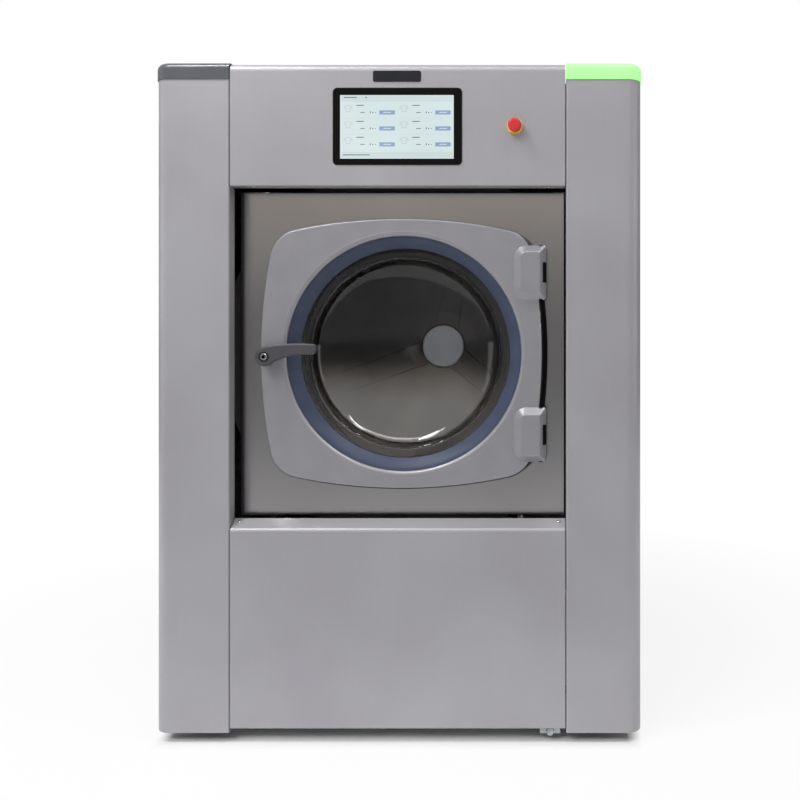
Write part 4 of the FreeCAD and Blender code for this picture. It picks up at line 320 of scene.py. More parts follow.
def black_screen_glass():
    """Float glass coated against glare, with a black print behind it: deep black, and a little dust."""
    finish, tree, place = start_finish("black_printed_glass")
    dust = add(tree, "ShaderNodeTexNoise", {"Vector": place, "Scale": per_mm(6), "Detail": 4.0})
    tone = add(tree, "ShaderNodeValToRGB", {"Fac": dust}, [(0.4, "#020203"), (0.75, "#060607")])
    gloss = add(tree, "ShaderNodeMapRange", {"Value": dust, "To Min": 0.03, "To Max": 0.09})
    shader = add(tree, "ShaderNodeBsdfPrincipled", {"Base Color": tone, "Roughness": gloss, "IOR": 1.33})
    add(tree, "ShaderNodeOutputMaterial", {"Surface": shader})
    return finish


def lit_polycarbonate():
    """Milky polycarbonate lit from inside: pale green, whiter towards the top."""
    finish, tree, place = start_finish("lit_green_polycarbonate")
    low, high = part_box("status_light")
    height = add(tree, "ShaderNodeSeparateXYZ", {0: place}).outputs["Z"]
    rise = add(tree, "ShaderNodeMapRange", {"Value": height, "From Min": low.z, "From Max": high.z})
    clouds = add(tree, "ShaderNodeTexNoise", {"Vector": place, "Scale": per_mm(70), "Detail": 1.0})
    level = add(tree, "ShaderNodeMix", {"Factor": 0.35, "A": rise, "B": clouds}, data_type="FLOAT")
    glow = add(
        tree, "ShaderNodeValToRGB", {"Fac": level},
        [(0.0, "#9CF58C"), (0.45, "#A9FB9B"), (1.0, "#C3FDB6")],
    )
    shader = add(
        tree, "ShaderNodeBsdfPrincipled",
        {
            "Base Color": linear("#6FB565"),
            "Roughness": 0.35,
            "IOR": 1.58,
            "Emission Color": glow,
            "Emission Strength": 0.82,
        },
    )
    add(tree, "ShaderNodeOutputMaterial", {"Surface": shader})
    return finish


def picture_light(name, tones):
    """Colour of a lit screen: even, with a faint fall-off across the panel."""
    finish, tree, place = start_finish(name)
    clouds = add(tree, "ShaderNodeTexNoise", {"Vector": place, "Scale": per_mm(130), "Detail": 0.0})
    glow = add(tree, "ShaderNodeValToRGB", {"Fac": clouds}, [(0.3, tones[0]), (0.7, tones[1])])
    shader = add(
        tree, "ShaderNodeBsdfPrincipled",
        {
            "Base Color": linear("#060606"),
            "Roughness": 0.25,
            "Emission Color": glow,
            "Emission Strength": 1.0,
        },
    )
    add(tree, "ShaderNodeOutputMaterial", {"Surface": shader})
    return finish


UPRIGHT = (1, 1, 0.02)
SIDEWAYS = (0.02, 1, 1)
DEEP = (1, 0.02, 1)

cabinet_steel = sheet_steel("satin_stainless_sheet", ("#A3A1A7", "#ABAAAF"), UPRIGHT, 0.35, 0.38, 0.2)
tub_panel_steel = sheet_steel("polished_stainless_sheet", ("#C9C6C3", "#D3D1CE"), SIDEWAYS, 1.0, 0.2, 0.15)
tub_steel = sheet_steel("mill_stainless_sheet", ("#A9A8A6", "#BCBBB9"), DEEP, 0.8, 0.34, 0.5)
drum_back_steel = spun_steel("spun_drum_stainless", ("#7E7B76", "#989590"), 0.95, 0.37, 3.0)
hub_steel = spun_steel("spun_hub_stainless", ("#C4C6CB", "#D4D6DA"), 0.3, 0.2, 1.5)
drum_steel = pierced_steel()
galvanised = zinc_coat()
machined_steel = grained("machined_steel", ("#A9A9AB", "#BFBFC1"), 1.2, 0.02, 0.26, metallic=1.0)
blackened_steel = grained("black_oxide_steel", ("#141416", "#212124"), 0.9, 0.03, 0.4, metallic=0.8)
spring_steel = grained("oil_tempered_spring_steel", ("#1C1C1F", "#2B2B2F"), 0.8, 0.03, 0.42, metallic=0.7)
cast_iron = grained("sand_cast_iron", ("#4A4C50", "#5E6064"), 1.6, 0.35, 0.55, metallic=0.6)
motor_enamel = grained("slate_motor_enamel", ("#343A42", "#3F464F"), 2.4, 0.06, 0.42, coat=0.3)
# The door's silver carries a painted shade on the round of its outer edge, most of it low and by the
# hinges.
door_silver = grained(
    "silver_powder_coat", ("#9F9EA3", "#A7A6AB"), 1.1, 0.04, 0.36, metallic=0.55, painted_shade=painted_edge_shade,
)
blue_rubber = grained("blue_silicone_rubber", ("#343B50", "#3F475E"), 1.5, 0.05, 0.42, ior=1.42)
black_rubber = grained("black_epdm_rubber", ("#141414", "#222222"), 1.8, 0.08, 0.62)
lever_nylon = grained("grey_glass_filled_nylon", ("#3E3E41", "#48484C"), 0.9, 0.05, 0.42)
cap_abs = grained("dark_grey_moulded_abs", ("#4E5055", "#575A5F"), 0.8, 0.03, 0.2)
black_nylon = grained("black_moulded_nylon", ("#131315", "#1F1F22"), 0.9, 0.05, 0.48)
red_abs = grained("red_moulded_abs", ("#BE242C", "#CA3138"), 1.2, 0.02, 0.3)
yellow_abs = grained("yellow_moulded_abs", ("#EDB93C", "#F5C74F"), 1.2, 0.02, 0.34)
zinc_screw = grained("bright_zinc_plated_steel", ("#C4C5C6", "#DADBDB"), 0.8, 0.02, 0.25, metallic=1.0)
black_plate = grained("black_anodised_aluminium", ("#232427", "#2E2F32"), 0.7, 0.02, 0.38, metallic=0.5)
bowl_glass = clear_glass()
screen_glass = black_screen_glass()
green_light = lit_polycarbonate()
screen_white = picture_light("screen_pale_light", ("#D3E2E3", "#DCE9E9"))
screen_bar = picture_light("screen_bar_light", ("#CBD9DB", "#D2DFE0"))
screen_blue = picture_light("screen_blue_light", ("#8BA5C6", "#9BB2CE"))
screen_ink = picture_light("screen_ink_light", ("#5E6A70", "#77838A"))
screen_line = picture_light("screen_line_light", ("#9AA7AC", "#A9B5B9"))

FINISHES = {
    cabinet_steel: (
        "left_column right_column header_panel lower_panel left_side_panel right_side_panel top_panel"
        " rear_panel belt_cover"
    ),
    galvanised: (
        "base_rails base_crossbars upper_frame panel_bracket control_box tub_cradles motor_bracket"
        " damper_tubes"
    ),
    tub_panel_steel: "tub_front_panel",
    tub_steel: "outer_tub tub_front_ring glass_clamp_ring heaters levelling_feet",
    drum_steel: "drum_shell drum_lifters",
    drum_back_steel: "drum_back",
    hub_steel: "hub_cover",
    machined_steel: "damper_rods shaft_bearings lock_bolt motor_pulley",
    blackened_steel: "hinge_brackets hinge_pins",
    spring_steel: "suspension_springs",
    cast_iron: "bearing_housing spider_shaft drum_pulley",
    motor_enamel: "motor",
    door_silver: "door_frame",
    blue_rubber: "door_gasket",
    black_rubber: "shaft_seal drive_belt fill_hoses drain_hose",
    bowl_glass: "door_glass",
    screen_glass: "display_glass",
    lever_nylon: "door_lever",
    cap_abs: "left_cap",
    green_light: "status_light",
    black_nylon: (
        "display_module estop_contact_block estop_stem inlet_valves drain_outlet drain_valve cable_gland"
        " lock_housing"
    ),
    red_abs: "estop_head",
    yellow_abs: "estop_collar",
}
for finish, names in FINISHES.items():
    for name in names.split():
        for place in nodes[name].material_slots:
            place.material = finish


def pick(piece, kind, wanted):
    """In edit mode, selects only the VERT, EDGE or FACE items that are wanted."""
    bpy.ops.mesh.select_mode(type=kind)
    bpy.ops.mesh.select_all(action="DESELECT")
    shape = bmesh.from_edit_mesh(piece.data)
    shape.normal_update()
    for item in {"VERT": shape.verts, "EDGE": shape.edges, "FACE": shape.faces}[kind]:
        item.select_set(bool(wanted(item)))
    shape.select_flush_mode()
    bmesh.update_edit_mesh(piece.data)


def begin():
    bpy.ops.object.select_all(action="DESELECT")


def named(name):
    piece = bpy.context.active_object
    piece.name = name
    piece.data.name = name
    return piece


def settle():
    """Puts the place, turn and size of the selected pieces into their meshes."""
    bpy.ops.object.transform_apply(location=True, rotation=True, scale=True)


def take(piece):
    """Makes a piece the only one selected."""
    begin()
    piece.select_set(True)
    bpy.context.view_layer.objects.active = piece


def paint(piece, finish):
    piece.data.materials.clear()
    piece.data.materials.append(finish)


def dress(piece, finish, body):
    paint(piece, finish)
    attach(piece, body)
    return piece


def join(pieces, name):
    begin()
    for piece in pieces:
        piece.select_set(True)
    bpy.context.view_layer.objects.active = pieces[0]
    if len(pieces) > 1:
        bpy.ops.object.join()
    return named(name)


def seat(node, start, way):
    """Point and outward direction where a line from start meets a CAD node."""
    hit, point, normal, _ = nodes[node].ray_cast(Vector(start), Vector(way))
    if not hit:
        raise ValueError("nothing to sit on: " + node)
    return point, (normal if normal.dot(Vector(way)) < 0 else -normal)


# A face looks a way when at least this share of its normal points there.
FACING = 0.9
NO_DEPTH = 1e-6


def runs_deep(edge):
    """True for an edge that runs from front to back."""
    return abs(edge.verts[0].co.y - edge.verts[1].co.y) > NO_DEPTH


def faces_front(face):
    return face.normal.y < -FACING


def plate(name, width, height, thick, corner, edge, centre):
    """Plate that faces the front, with rounded corners and a bevelled front; centre is the middle of
    its back."""
    begin()
    core = Vector(centre) + FRONT * (thick - edge) / 2
    bpy.ops.mesh.primitive_cube_add(size=1, location=core, scale=(width, thick - edge, height))
    piece = named(name)
    settle()
    bpy.ops.object.mode_set(mode="EDIT")
    pick(piece, "EDGE", runs_deep)
    bpy.ops.mesh.bevel(offset=corner, segments=6, affect="EDGES")
    pick(piece, "FACE", faces_front)
    bpy.ops.mesh.inset(thickness=edge, depth=edge)
    bpy.ops.object.mode_set(mode="OBJECT")
    return piece


def rim(name, width, height, wide, thick, corner, centre):
    """Flat frame round an opening of width by height; centre is the middle of its back."""
    begin()
    core = Vector(centre) + FRONT * thick / 2
    size = (width + 2 * wide, thick, height + 2 * wide)
    bpy.ops.mesh.primitive_cube_add(size=1, location=core, scale=size)
    piece = named(name)
    settle()
    bpy.ops.object.mode_set(mode="EDIT")
    pick(piece, "EDGE", runs_deep)
    bpy.ops.mesh.bevel(offset=corner + wide, segments=8, affect="EDGES")
    pick(piece, "FACE", lambda f: abs(f.normal.y) > FACING)
    bpy.ops.mesh.inset(thickness=wide, use_individual=True)
    bpy.ops.mesh.bridge_edge_loops()
    bpy.ops.object.mode_set(mode="OBJECT")
    return piece


SHIRT_BODY = 0.52
SHIRT_SIDE = 0.25
SLEEVE_FOOT = 0.1
SLEEVE_REACH = 0.24
SLEEVE_DROP = 0.16


def shirt(name, width, height, line, thick, centre):
    """Outline sign of a shirt: a body with two sleeves, drawn as a thin raised line. The shares above
    are of its width, and for the sleeves' foot and drop of its height."""
    begin()
    bpy.ops.mesh.primitive_plane_add(size=1, location=centre, rotation=(math.radians(90), 0, 0))
    piece = named(name)
    piece.scale = (width * SHIRT_BODY, height, 1)
    settle()
    core = Vector(centre)
    bpy.ops.object.mode_set(mode="EDIT")
    bpy.ops.mesh.select_all(action="SELECT")
    bpy.ops.mesh.subdivide(number_cuts=2)
    for side in (1, -1):
        pick(
            piece, "EDGE",
            lambda e: all((v.co.x - core.x) * side > width * SHIRT_SIDE for v in e.verts)
            and all(v.co.z - core.z > height * SLEEVE_FOOT for v in e.verts),
        )
        sleeve = (side * width * SLEEVE_REACH, 0, -height * SLEEVE_DROP)
        bpy.ops.mesh.extrude_region_move(TRANSFORM_OT_translate={"value": sleeve})
    bpy.ops.mesh.select_mode(type="FACE")
    bpy.ops.mesh.select_all(action="SELECT")
    bpy.ops.mesh.inset(thickness=line, use_boundary=True)
    bpy.ops.mesh.delete(type="FACE")
    bpy.ops.object.mode_set(mode="OBJECT")
    wall = piece.modifiers.new("wall", "SOLIDIFY")
    wall.thickness = thick
    wall.offset = 0
    bpy.ops.object.modifier_apply(modifier=wall.name)
    return piece


def hole_in(piece, tool):
    """Cuts one piece out of another."""
    cut = piece.modifiers.new("recess", "BOOLEAN")
    cut.operation = "DIFFERENCE"
    cut.object = tool
    take(piece)
    bpy.ops.object.modifier_apply(modifier=cut.name)
    bpy.data.objects.remove(tool)


def front_cylinder(name, sides, radius, depth, middle_depth):
    """Cylinder or prism along the depth, with its middle this far before the origin."""
    begin()
    bpy.ops.mesh.primitive_cylinder_add(
        vertices=sides, radius=radius, depth=depth,
        location=FRONT * middle_depth, rotation=(math.radians(90), 0, 0),
    )
    piece = named(name)
    settle()
    return piece


# Shares of a screw head's radius or height.
CAP_TOP = 0.9
CAP_BEVEL = 0.14
SOCKET_RADIUS = 0.55
PAN_WALL = 0.5
PAN_STEPS = ((0.16, 0.3), (0.3, 0.2))
CROSS_WIDTH = 0.22
CROSS_DEPTH = 0.8


def socket_screw(name, radius, height):
    """Cap screw that points to the front at the origin: a bevelled head with a hexagon socket."""
    head = front_cylinder(name, 32, radius, height, height / 2)
    bpy.ops.object.mode_set(mode="EDIT")
    pick(head, "EDGE", lambda e: all(v.co.y < -height * CAP_TOP for v in e.verts))
    bpy.ops.mesh.bevel(offset=radius * CAP_BEVEL, segments=3, affect="EDGES")
    bpy.ops.object.mode_set(mode="OBJECT")
    hole_in(head, front_cylinder("socket_tool", 6, radius * SOCKET_RADIUS, height, height))
    return head


def pan_screw(name, radius, height):
    """Pan head screw that points to the front at the origin: a domed head with a cross recess."""
    head = front_cylinder(name, 24, radius, height * PAN_WALL, height * PAN_WALL / 2)
    bpy.ops.object.mode_set(mode="EDIT")
    pick(head, "FACE", faces_front)
    for inwards, forwards in PAN_STEPS:
        bpy.ops.mesh.inset(thickness=radius * inwards, depth=height * forwards)
    bpy.ops.object.mode_set(mode="OBJECT")
    for wide, high in ((radius, radius * CROSS_WIDTH), (radius * CROSS_WIDTH, radius)):
        begin()
        bpy.ops.mesh.primitive_cube_add(
            size=1, location=FRONT * height, scale=(wide, height * CROSS_DEPTH, high),
        )
        tool = named("recess_tool")
        settle()
        hole_in(head, tool)
    return head


def set_out(pattern, places, name, finish, body):
    """Copies of a fastener at each (point, direction), as one piece."""
    copies = []
    for point, way in places:
        take(pattern)
        bpy.ops.object.duplicate()
        copy = bpy.context.active_object
        copy.rotation_mode = "QUATERNION"
        copy.rotation_quaternion = FRONT.rotation_difference(way)
        copy.location = point
        settle()
        copies.append(copy)
    piece = join(copies, name)
    return dress(piece, finish, body)


def on_screen(x, z, lift=0.0):
    """Point this far before the screen glass, from millimetres across, up and forwards."""
    return Vector((x * MM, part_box("display_glass")[0].y, z * MM)) + FRONT * lift * MM


TILE_THICK = 0.1
TILE_EDGE = 0.03


def tile(width, height, corner, x, z, lift, thick=TILE_THICK, edge=TILE_EDGE):
    """Small plate in the picture on the screen, in millimetres."""
    return plate(
        "tile", width * MM, height * MM, thick * MM, corner * MM, edge * MM, on_screen(x, z, lift),
    )


PICTURE_WIDTH = 227.0
PICTURE_HEIGHT = 127.0
PICTURE_X = -1.0
PICTURE_Z = 1232.0
PICTURE_THICK = 0.12
PICTURE_CORNER = 0.6
COLUMNS = (-98.6, 13.2)
ROWS = (1260.8, 1228.8, 1197.0)
# Each strip: height and middle.
STRIPS = (
    (11.5, PICTURE_Z + PICTURE_HEIGHT / 2 - 7.4),
    (12.0, PICTURE_Z - PICTURE_HEIGHT / 2 + 7.6),
)
STRIP_WIDTH = PICTURE_WIDTH - 3.0
RULE = (105.0, 0.9, 0.2)
RULE_X = 43.6
RULE_DROP = 11.6
BUTTON = (31.0, 8.4, 0.9)
BUTTON_X = 78.0
BUTTON_THICK = 0.16
BUTTON_EDGE = 0.05
LABEL = (15.0, 1.6, 0.5)
LABEL_LIFT = 0.28
MARK_CORNER = 0.4
# Each mark of a row: length, height, and its place from the row's start.
ROW_MARKS = (
    (15.0, 1.7, 24.0, 14.0),
    (10.0, 1.3, 29.0, 0.0),
    (1.6, 4.4, 44.5, 0.2),
    (2.2, 2.2, 49.5, 0.0),
    (1.6, 1.6, 55.0, 0.0),
)
# Each mark on a strip: length and place.
STRIP_MARKS = ((26.0, -94.0, 1290.8), (4.0, -62.4, 1290.8), (54.0, -82.0, 1176.0))
STRIP_MARK_HEIGHT = 1.8
STRIP_MARK_CORNER = 0.5
STRIP_MARK_LIFT = 0.22
SIGN_WIDTH = 16 * MM
SIGN_HEIGHT = 12.5 * MM
SIGN_LINE = 0.55 * MM
SIGN_RISE = 7.4


def screen_picture():
    """Lit picture of the touch screen: a plain menu of six rows, each with a sign, marks and a
    button."""
    top = PICTURE_THICK
    panel = [tile(PICTURE_WIDTH, PICTURE_HEIGHT, PICTURE_CORNER, PICTURE_X, PICTURE_Z, 0.0, thick=top)]
    strips = [tile(STRIP_WIDTH, height, MARK_CORNER, PICTURE_X, z, top) for height, z in STRIPS]
    buttons = []
    labels = []
    marks = []
    signs = []
    for x in COLUMNS:
        for z in ROWS:
            strips.append(tile(*RULE, x + RULE_X, z - RULE_DROP, top))
            buttons.append(tile(*BUTTON, x + BUTTON_X, z, top, thick=BUTTON_THICK, edge=BUTTON_EDGE))
            labels.append(tile(*LABEL, x + BUTTON_X, z, LABEL_LIFT))
            for length, height, across, up in ROW_MARKS:
                marks.append(tile(length, height, MARK_CORNER, x + across, z + up, top))
            spot = on_screen(x, z + SIGN_RISE, top)
            signs.append(shirt("sign", SIGN_WIDTH, SIGN_HEIGHT, SIGN_LINE, TILE_THICK * MM, spot))
    for length, x, z in STRIP_MARKS:
        marks.append(tile(length, STRIP_MARK_HEIGHT, STRIP_MARK_CORNER, x, z, STRIP_MARK_LIFT))
    for name, pieces, finish in (
        ("screen_panel", panel, screen_white),
        ("screen_strips", strips, screen_bar),
        ("screen_buttons", buttons, screen_blue),
        ("screen_button_labels", labels, screen_white),
        ("screen_marks", marks, screen_ink),
        ("screen_signs", signs, screen_line),
    ):
        dress(join(pieces, name), finish, "cabinet")


FAR = 1.0
BADGE_X = -0.001
BADGE_Z = 1.3335
RIM_GAP = 0.4 * MM
RIM_WIDTH = 0.9 * MM
RIM_THICK = 0.8 * MM
SCREEN_CORNER = 9 * MM


def header_trim():
    """Bare plate above the screen, and the bright rim of the screen's opening."""
    point, _ = seat("header_panel", (BADGE_X, -FAR, BADGE_Z), REAR)
    badge = plate("bare_badge", 96 * MM, 22 * MM, 1.6 * MM, 4 * MM, 0.5 * MM, point)
    dress(badge, black_plate, "cabinet")
    low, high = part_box("display_glass")
    centre = Vector(((low.x + high.x) / 2, FRONT_Y, (low.z + high.z) / 2))
    width = high.x - low.x + RIM_GAP
    height = high.z - low.z + RIM_GAP
    screen_rim = rim("screen_rim", width, height, RIM_WIDTH, RIM_THICK, SCREEN_CORNER, centre)
    dress(screen_rim, zinc_screw, "cabinet")


HEADER_SCREW_X = (-0.292, 0.302)
HEADER_SCREW_DEPTH = 0.012
SILL_SCREW_X = (-0.322, 0.322)
SILL_SCREW_DEPTH = 0.02
REAR_SCREW_X = (-0.47, -0.235, 0.235, 0.47)
REAR_SCREW_ENDS = (0.045, 1.305)
REAR_SCREW_SIDES = (0.36, 0.675, 0.99)
COVER_SCREWS = 8
COVER_SCREW_RING = 0.228
SIDE_SCREW_Y = (-0.39, 0.045, 0.48)
SIDE_SCREW_Z = 0.05
SIDE_SCREW_SINK = 0.8 * MM
LEVER_X = -0.264
LEVER_Z = 0.773
LEVER_SCREW_SINK = 0.002


def small_screws():
    """Pan head screws: under the header, on the sill, and on the rear panel, belt cover and sides."""
    header = [seat("header_panel", (x, FRONT_Y + HEADER_SCREW_DEPTH, FAR), UP) for x in HEADER_SCREW_X]
    sill = [seat("lower_panel", (x, FRONT_Y + SILL_SCREW_DEPTH, FAR), DOWN) for x in SILL_SCREW_X]
    rear = []
    for x in REAR_SCREW_X:
        for z in REAR_SCREW_ENDS:
            rear.append(seat("rear_panel", (x, FAR, z), FRONT))
    for z in REAR_SCREW_SIDES:
        for x in (REAR_SCREW_X[0], REAR_SCREW_X[-1]):
            rear.append(seat("rear_panel", (x, FAR, z), FRONT))
    cover = []
    for number in range(COVER_SCREWS):
        turn = math.tau * (number + 0.5) / COVER_SCREWS
        across = AXIS_X + COVER_SCREW_RING * math.sin(turn)
        up = AXIS_Z + COVER_SCREW_RING * math.cos(turn)
        cover.append(seat("belt_cover", (across, FAR, up), FRONT))
    sides = []
    for y in SIDE_SCREW_Y:
        for panel, start, way in (("right_side_panel", FAR, LEFT), ("left_side_panel", -FAR, RIGHT)):
            point, outward = seat(panel, (start, y, SIDE_SCREW_Z), way)
            sides.append((point - outward * SIDE_SCREW_SINK, outward))
    pattern = pan_screw("small_screw", 4.2 * MM, 2.4 * MM)
    for name, places in (
        ("header_screws", header),
        ("sill_screws", sill),
        ("rear_panel_screws", rear),
        ("belt_cover_screws", cover),
        ("side_panel_screws", sides),
    ):
        set_out(pattern, places, name, zinc_screw, "cabinet")
    bpy.data.objects.remove(pattern)


def lever_screw():
    """Cap screw of the lever, in a flat ring."""
    pivot, _ = seat("door_lever", (LEVER_X, -FAR, LEVER_Z), REAR)
    places = [(pivot + REAR * LEVER_SCREW_SINK, FRONT)]
    pattern = socket_screw("cap_screw", 6.6 * MM, 4.0 * MM)
    set_out(pattern, places, "lever_screw", zinc_screw, "lever")
    bpy.data.objects.remove(pattern)
    begin()
    bpy.ops.mesh.primitive_torus_add(
        location=pivot, rotation=(math.radians(90), 0, 0), major_segments=48, minor_segments=12,
        major_radius=8.7 * MM, minor_radius=1.9 * MM,
    )
    cup = named("lever_screw_cup")
    settle()
    bpy.ops.object.mode_set(mode="EDIT")
    bpy.ops.mesh.select_all(action="SELECT")
    bpy.ops.transform.resize(value=(1, 0.5, 1), center_override=pivot)
    bpy.ops.object.mode_set(mode="OBJECT")
    bpy.ops.object.shade_smooth()
    dress(cup, black_nylon, "lever")


WELD = 0.001 * MM
CREASE = math.radians(40)
TURN_STEPS = 128


def weld():
    """Merges doubled corners of the active piece and turns its faces outward."""
    bpy.ops.object.mode_set(mode="EDIT")
    bpy.ops.mesh.select_all(action="SELECT")
    bpy.ops.mesh.remove_doubles(threshold=WELD)
    bpy.ops.mesh.normals_make_consistent(inside=False)
    bpy.ops.object.mode_set(mode="OBJECT")


def turned(name, profile, wall=0.0):
    """Ring turned about the drum's axis from (radius, depth) points in millimetres. The profile is
    closed, or with a wall it is an open line that gets this thickness behind it."""
    begin()
    bpy.ops.mesh.primitive_circle_add(vertices=len(profile), radius=0.1)
    piece = named(name)
    bpy.ops.object.mode_set(mode="EDIT")
    shape = bmesh.from_edit_mesh(piece.data)
    for corner, (radius, depth) in zip(shape.verts, profile):
        corner.co = (AXIS_X + radius * MM, FRONT_Y + depth * MM, AXIS_Z)
    bmesh.update_edit_mesh(piece.data)
    if wall:
        ends = {0, len(profile) - 1}
        pick(piece, "EDGE", lambda e: {v.index for v in e.verts} == ends)
        bpy.ops.mesh.delete(type="EDGE")
    bpy.ops.mesh.select_all(action="SELECT")
    bpy.ops.mesh.spin(steps=TURN_STEPS, angle=math.tau, center=(AXIS_X, 0, AXIS_Z), axis=(0, 1, 0))
    weld()
    if wall:
        behind = sum(face.normal.y * face.area for face in piece.data.polygons) > 0
        skin = piece.modifiers.new("skin", "SOLIDIFY")
        skin.thickness = wall * MM
        skin.offset = 1 if behind else -1
        skin.use_even_offset = True
        bpy.ops.object.modifier_apply(modifier=skin.name)
    bpy.ops.object.shade_smooth_by_angle(angle=CREASE)
    return piece


# Radius and depth in millimetres, from the door's seat along the slope to the lip on the glass.
GASKET_FRONT = (
    (251.5, 28.6), (239.5, 28.6), (236.8, 29), (233, 31), (228, 34.6), (222, 39.8), (217, 44.8),
    (214.6, 47.4), (226.2, 47.7), (226.2, 54.2), (214.3, 54.3),
)
LIP = (
    (249.5, 22.3), (248.5, 21.9), (246, 21.9), (243.4, 22.4), (241, 23.6), (239.2, 25.3),
    (238.2, 27.4), (238.4, 28.2), (244.6, 28.2), (244.6, 24.5),
)


def door_rubber():
    """Gasket with a face that slopes in to the glass and a seal on the tub, and the rolled lip of the
    door's hole."""
    seal = (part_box("door_gasket")[1].y - FRONT_Y) / MM
    back = (
        (224.5, seal - 1), (226, seal), (237, seal), (238.5, seal - 1), (246.5, 53.9), (251.5, 53.9),
    )
    gasket = turned("sloped_gasket", GASKET_FRONT + back)
    dress(gasket, blue_rubber, "door")
    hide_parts("door_gasket")
    dress(turned("door_hole_lip", LIP), door_silver, "door")


# Radius and depth in millimetres of the rim and the steep wall, before the dome starts.
GLASS_RIM = (
    (226, 48), (200, 48), (196.6, 48.5), (193.9, 49.9), (192, 52), (190.8, 55), (187.4, 64),
    (186.2, 66.8),
)
GLASS_WALL = 6.0
DOME_RADIUS = 184.0
DOME_DEPTH = 70.0
DOME_END = 130.0
DOME_STEPS = 16


def door_bowl():
    """Pressed glass of the door: a flat rim, a short steep wall and a shallow dome towards the drum."""
    line = list(GLASS_RIM)
    sag = DOME_END - DOME_DEPTH
    ball = (DOME_RADIUS ** 2 + sag ** 2) / (2 * sag)
    for step in range(DOME_STEPS + 1):
        radius = DOME_RADIUS * (1 - step / DOME_STEPS)
        line.append((radius, DOME_END - ball + math.sqrt(ball ** 2 - radius ** 2)))
    glass = turned("domed_door_glass", line, wall=GLASS_WALL)
    dress(glass, bowl_glass, "door")
    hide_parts("door_glass")


def hose(name, route, radius, node):
    """Rubber hose on a smooth line through a route, with its ends closed, in place of its node."""
    line = bpy.data.curves.new(name, "CURVE")
    line.dimensions = "3D"
    line.bevel_depth = radius
    line.bevel_resolution = 6
    line.use_fill_caps = True
    line.resolution_u = 24
    spline = line.splines.new("NURBS")
    spline.points.add(len(route) - 1)
    for point, place in zip(spline.points, route):
        point.co = (*place, 1.0)
    spline.order_u = 3
    spline.use_endpoint_u = True
    piece = bpy.data.objects.new(name, line)
    bpy.context.scene.collection.objects.link(piece)
    take(piece)
    bpy.ops.object.convert(target="MESH")
    piece = named(name)
    weld()
    bpy.ops.object.shade_smooth_by_angle(angle=CREASE)
    paint(piece, black_rubber)
    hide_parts(node)
    return piece


DRAIN_X = -0.060
DRAIN_RADIUS = 0.038
# Depth behind the front and height.
DRAIN_ROUTE = ((0.392, 0.264), (0.700, 0.264), (0.860, 0.132), (0.990, 0.132))
FILL_X = (-0.330, -0.280, -0.230)
FILL_RADIUS = 0.009
FILL_SINK = 0.004


def hoses():
    """Drain hose from the valve under the tub to the outlet, and fill hoses from the inlets to the
    tub."""
    route = [(DRAIN_X, FRONT_Y + depth, z) for depth, z in DRAIN_ROUTE]
    drain = hose("rubber_drain_hose", route, DRAIN_RADIUS, "drain_hose")
    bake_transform(drain)
    low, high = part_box("fill_hoses")
    top = high.z - FILL_RADIUS
    rear = low.y + FILL_RADIUS
    for number, x in enumerate(FILL_X):
        entry, _ = seat("outer_tub", (x, rear, top), DOWN)
        route = [(x, high.y, top), (x, rear, top), (x, rear, entry.z - FILL_SINK)]
        piece = hose("rubber_fill_hose_%d" % (number + 1), route, FILL_RADIUS, "fill_hoses")
        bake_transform(piece)


SPRING_RADIUS = 0.028
SPRING_WIRE = 0.008
SPRING_TURNS = 9
WIRE_SIDES = 12
WIND_STEPS = 24
WIRE_CREASE = math.radians(50)


def coil_spring(foot, rise):
    """Wire wound upwards from the foot of its axis; rise is the height of one turn."""
    begin()
    bpy.ops.mesh.primitive_circle_add(
        vertices=WIRE_SIDES, radius=SPRING_WIRE / 2, fill_type="NGON", rotation=(math.radians(90), 0, 0),
    )
    coil = named("coil")
    settle()
    bpy.ops.object.mode_set(mode="EDIT")
    bpy.ops.mesh.select_all(action="SELECT")
    bpy.ops.transform.translate(value=(SPRING_RADIUS, 0, 0))
    bpy.ops.object.mode_set(mode="OBJECT")
    wind = coil.modifiers.new("wind", "SCREW")
    wind.steps = WIND_STEPS
    wind.render_steps = WIND_STEPS
    wind.iterations = SPRING_TURNS
    wind.screw_offset = rise
    bpy.ops.object.modifier_apply(modifier=wind.name)
    bpy.ops.object.mode_set(mode="EDIT")
    bpy.ops.mesh.select_all(action="SELECT")
    bpy.ops.mesh.normals_make_consistent(inside=False)
    bpy.ops.object.mode_set(mode="OBJECT")
    bpy.ops.object.shade_smooth_by_angle(angle=WIRE_CREASE)
    coil.location = foot
    settle()
    return coil


def springs():
    """Four coil springs under the tub."""
    low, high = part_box("suspension_springs")
    reach = SPRING_RADIUS + SPRING_WIRE / 2
    rise = (high.z - low.z - SPRING_WIRE) / SPRING_TURNS
    coils = []
    for x in (low.x + reach, high.x - reach):
        for y in (low.y + reach, high.y - reach):
            coils.append(coil_spring((x, y, low.z + SPRING_WIRE / 2), rise))
    piece = join(coils, "coil_springs")
    paint(piece, spring_steel)
    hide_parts("suspension_springs")
    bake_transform(piece)


screen_picture()
header_trim()
small_screws()
lever_screw()
door_rubber()
door_bowl()
hoses()
springs()


def seen_share(tree):
    """Share that is 1 for rays from the camera, from mirrors and through glass."""
    path = add(tree, "ShaderNodeLightPath").outputs
    seen = path["Is Camera Ray"]
    for kind in ("Is Glossy Ray", "Is Transmission Ray"):
        seen = add(tree, "ShaderNodeMath", {0: seen, 1: path[kind]}, operation="ADD", use_clamp=True)
    return seen


FLOOR_SIZE = 24
SHADOW_FROM = 0.6
SHADOW_TO = 1.6
SHADOW_WHITE = 0.86
# Half the width and depth that the machine covers.
UNDER_MACHINE = (0.49, 0.56, 1.0)


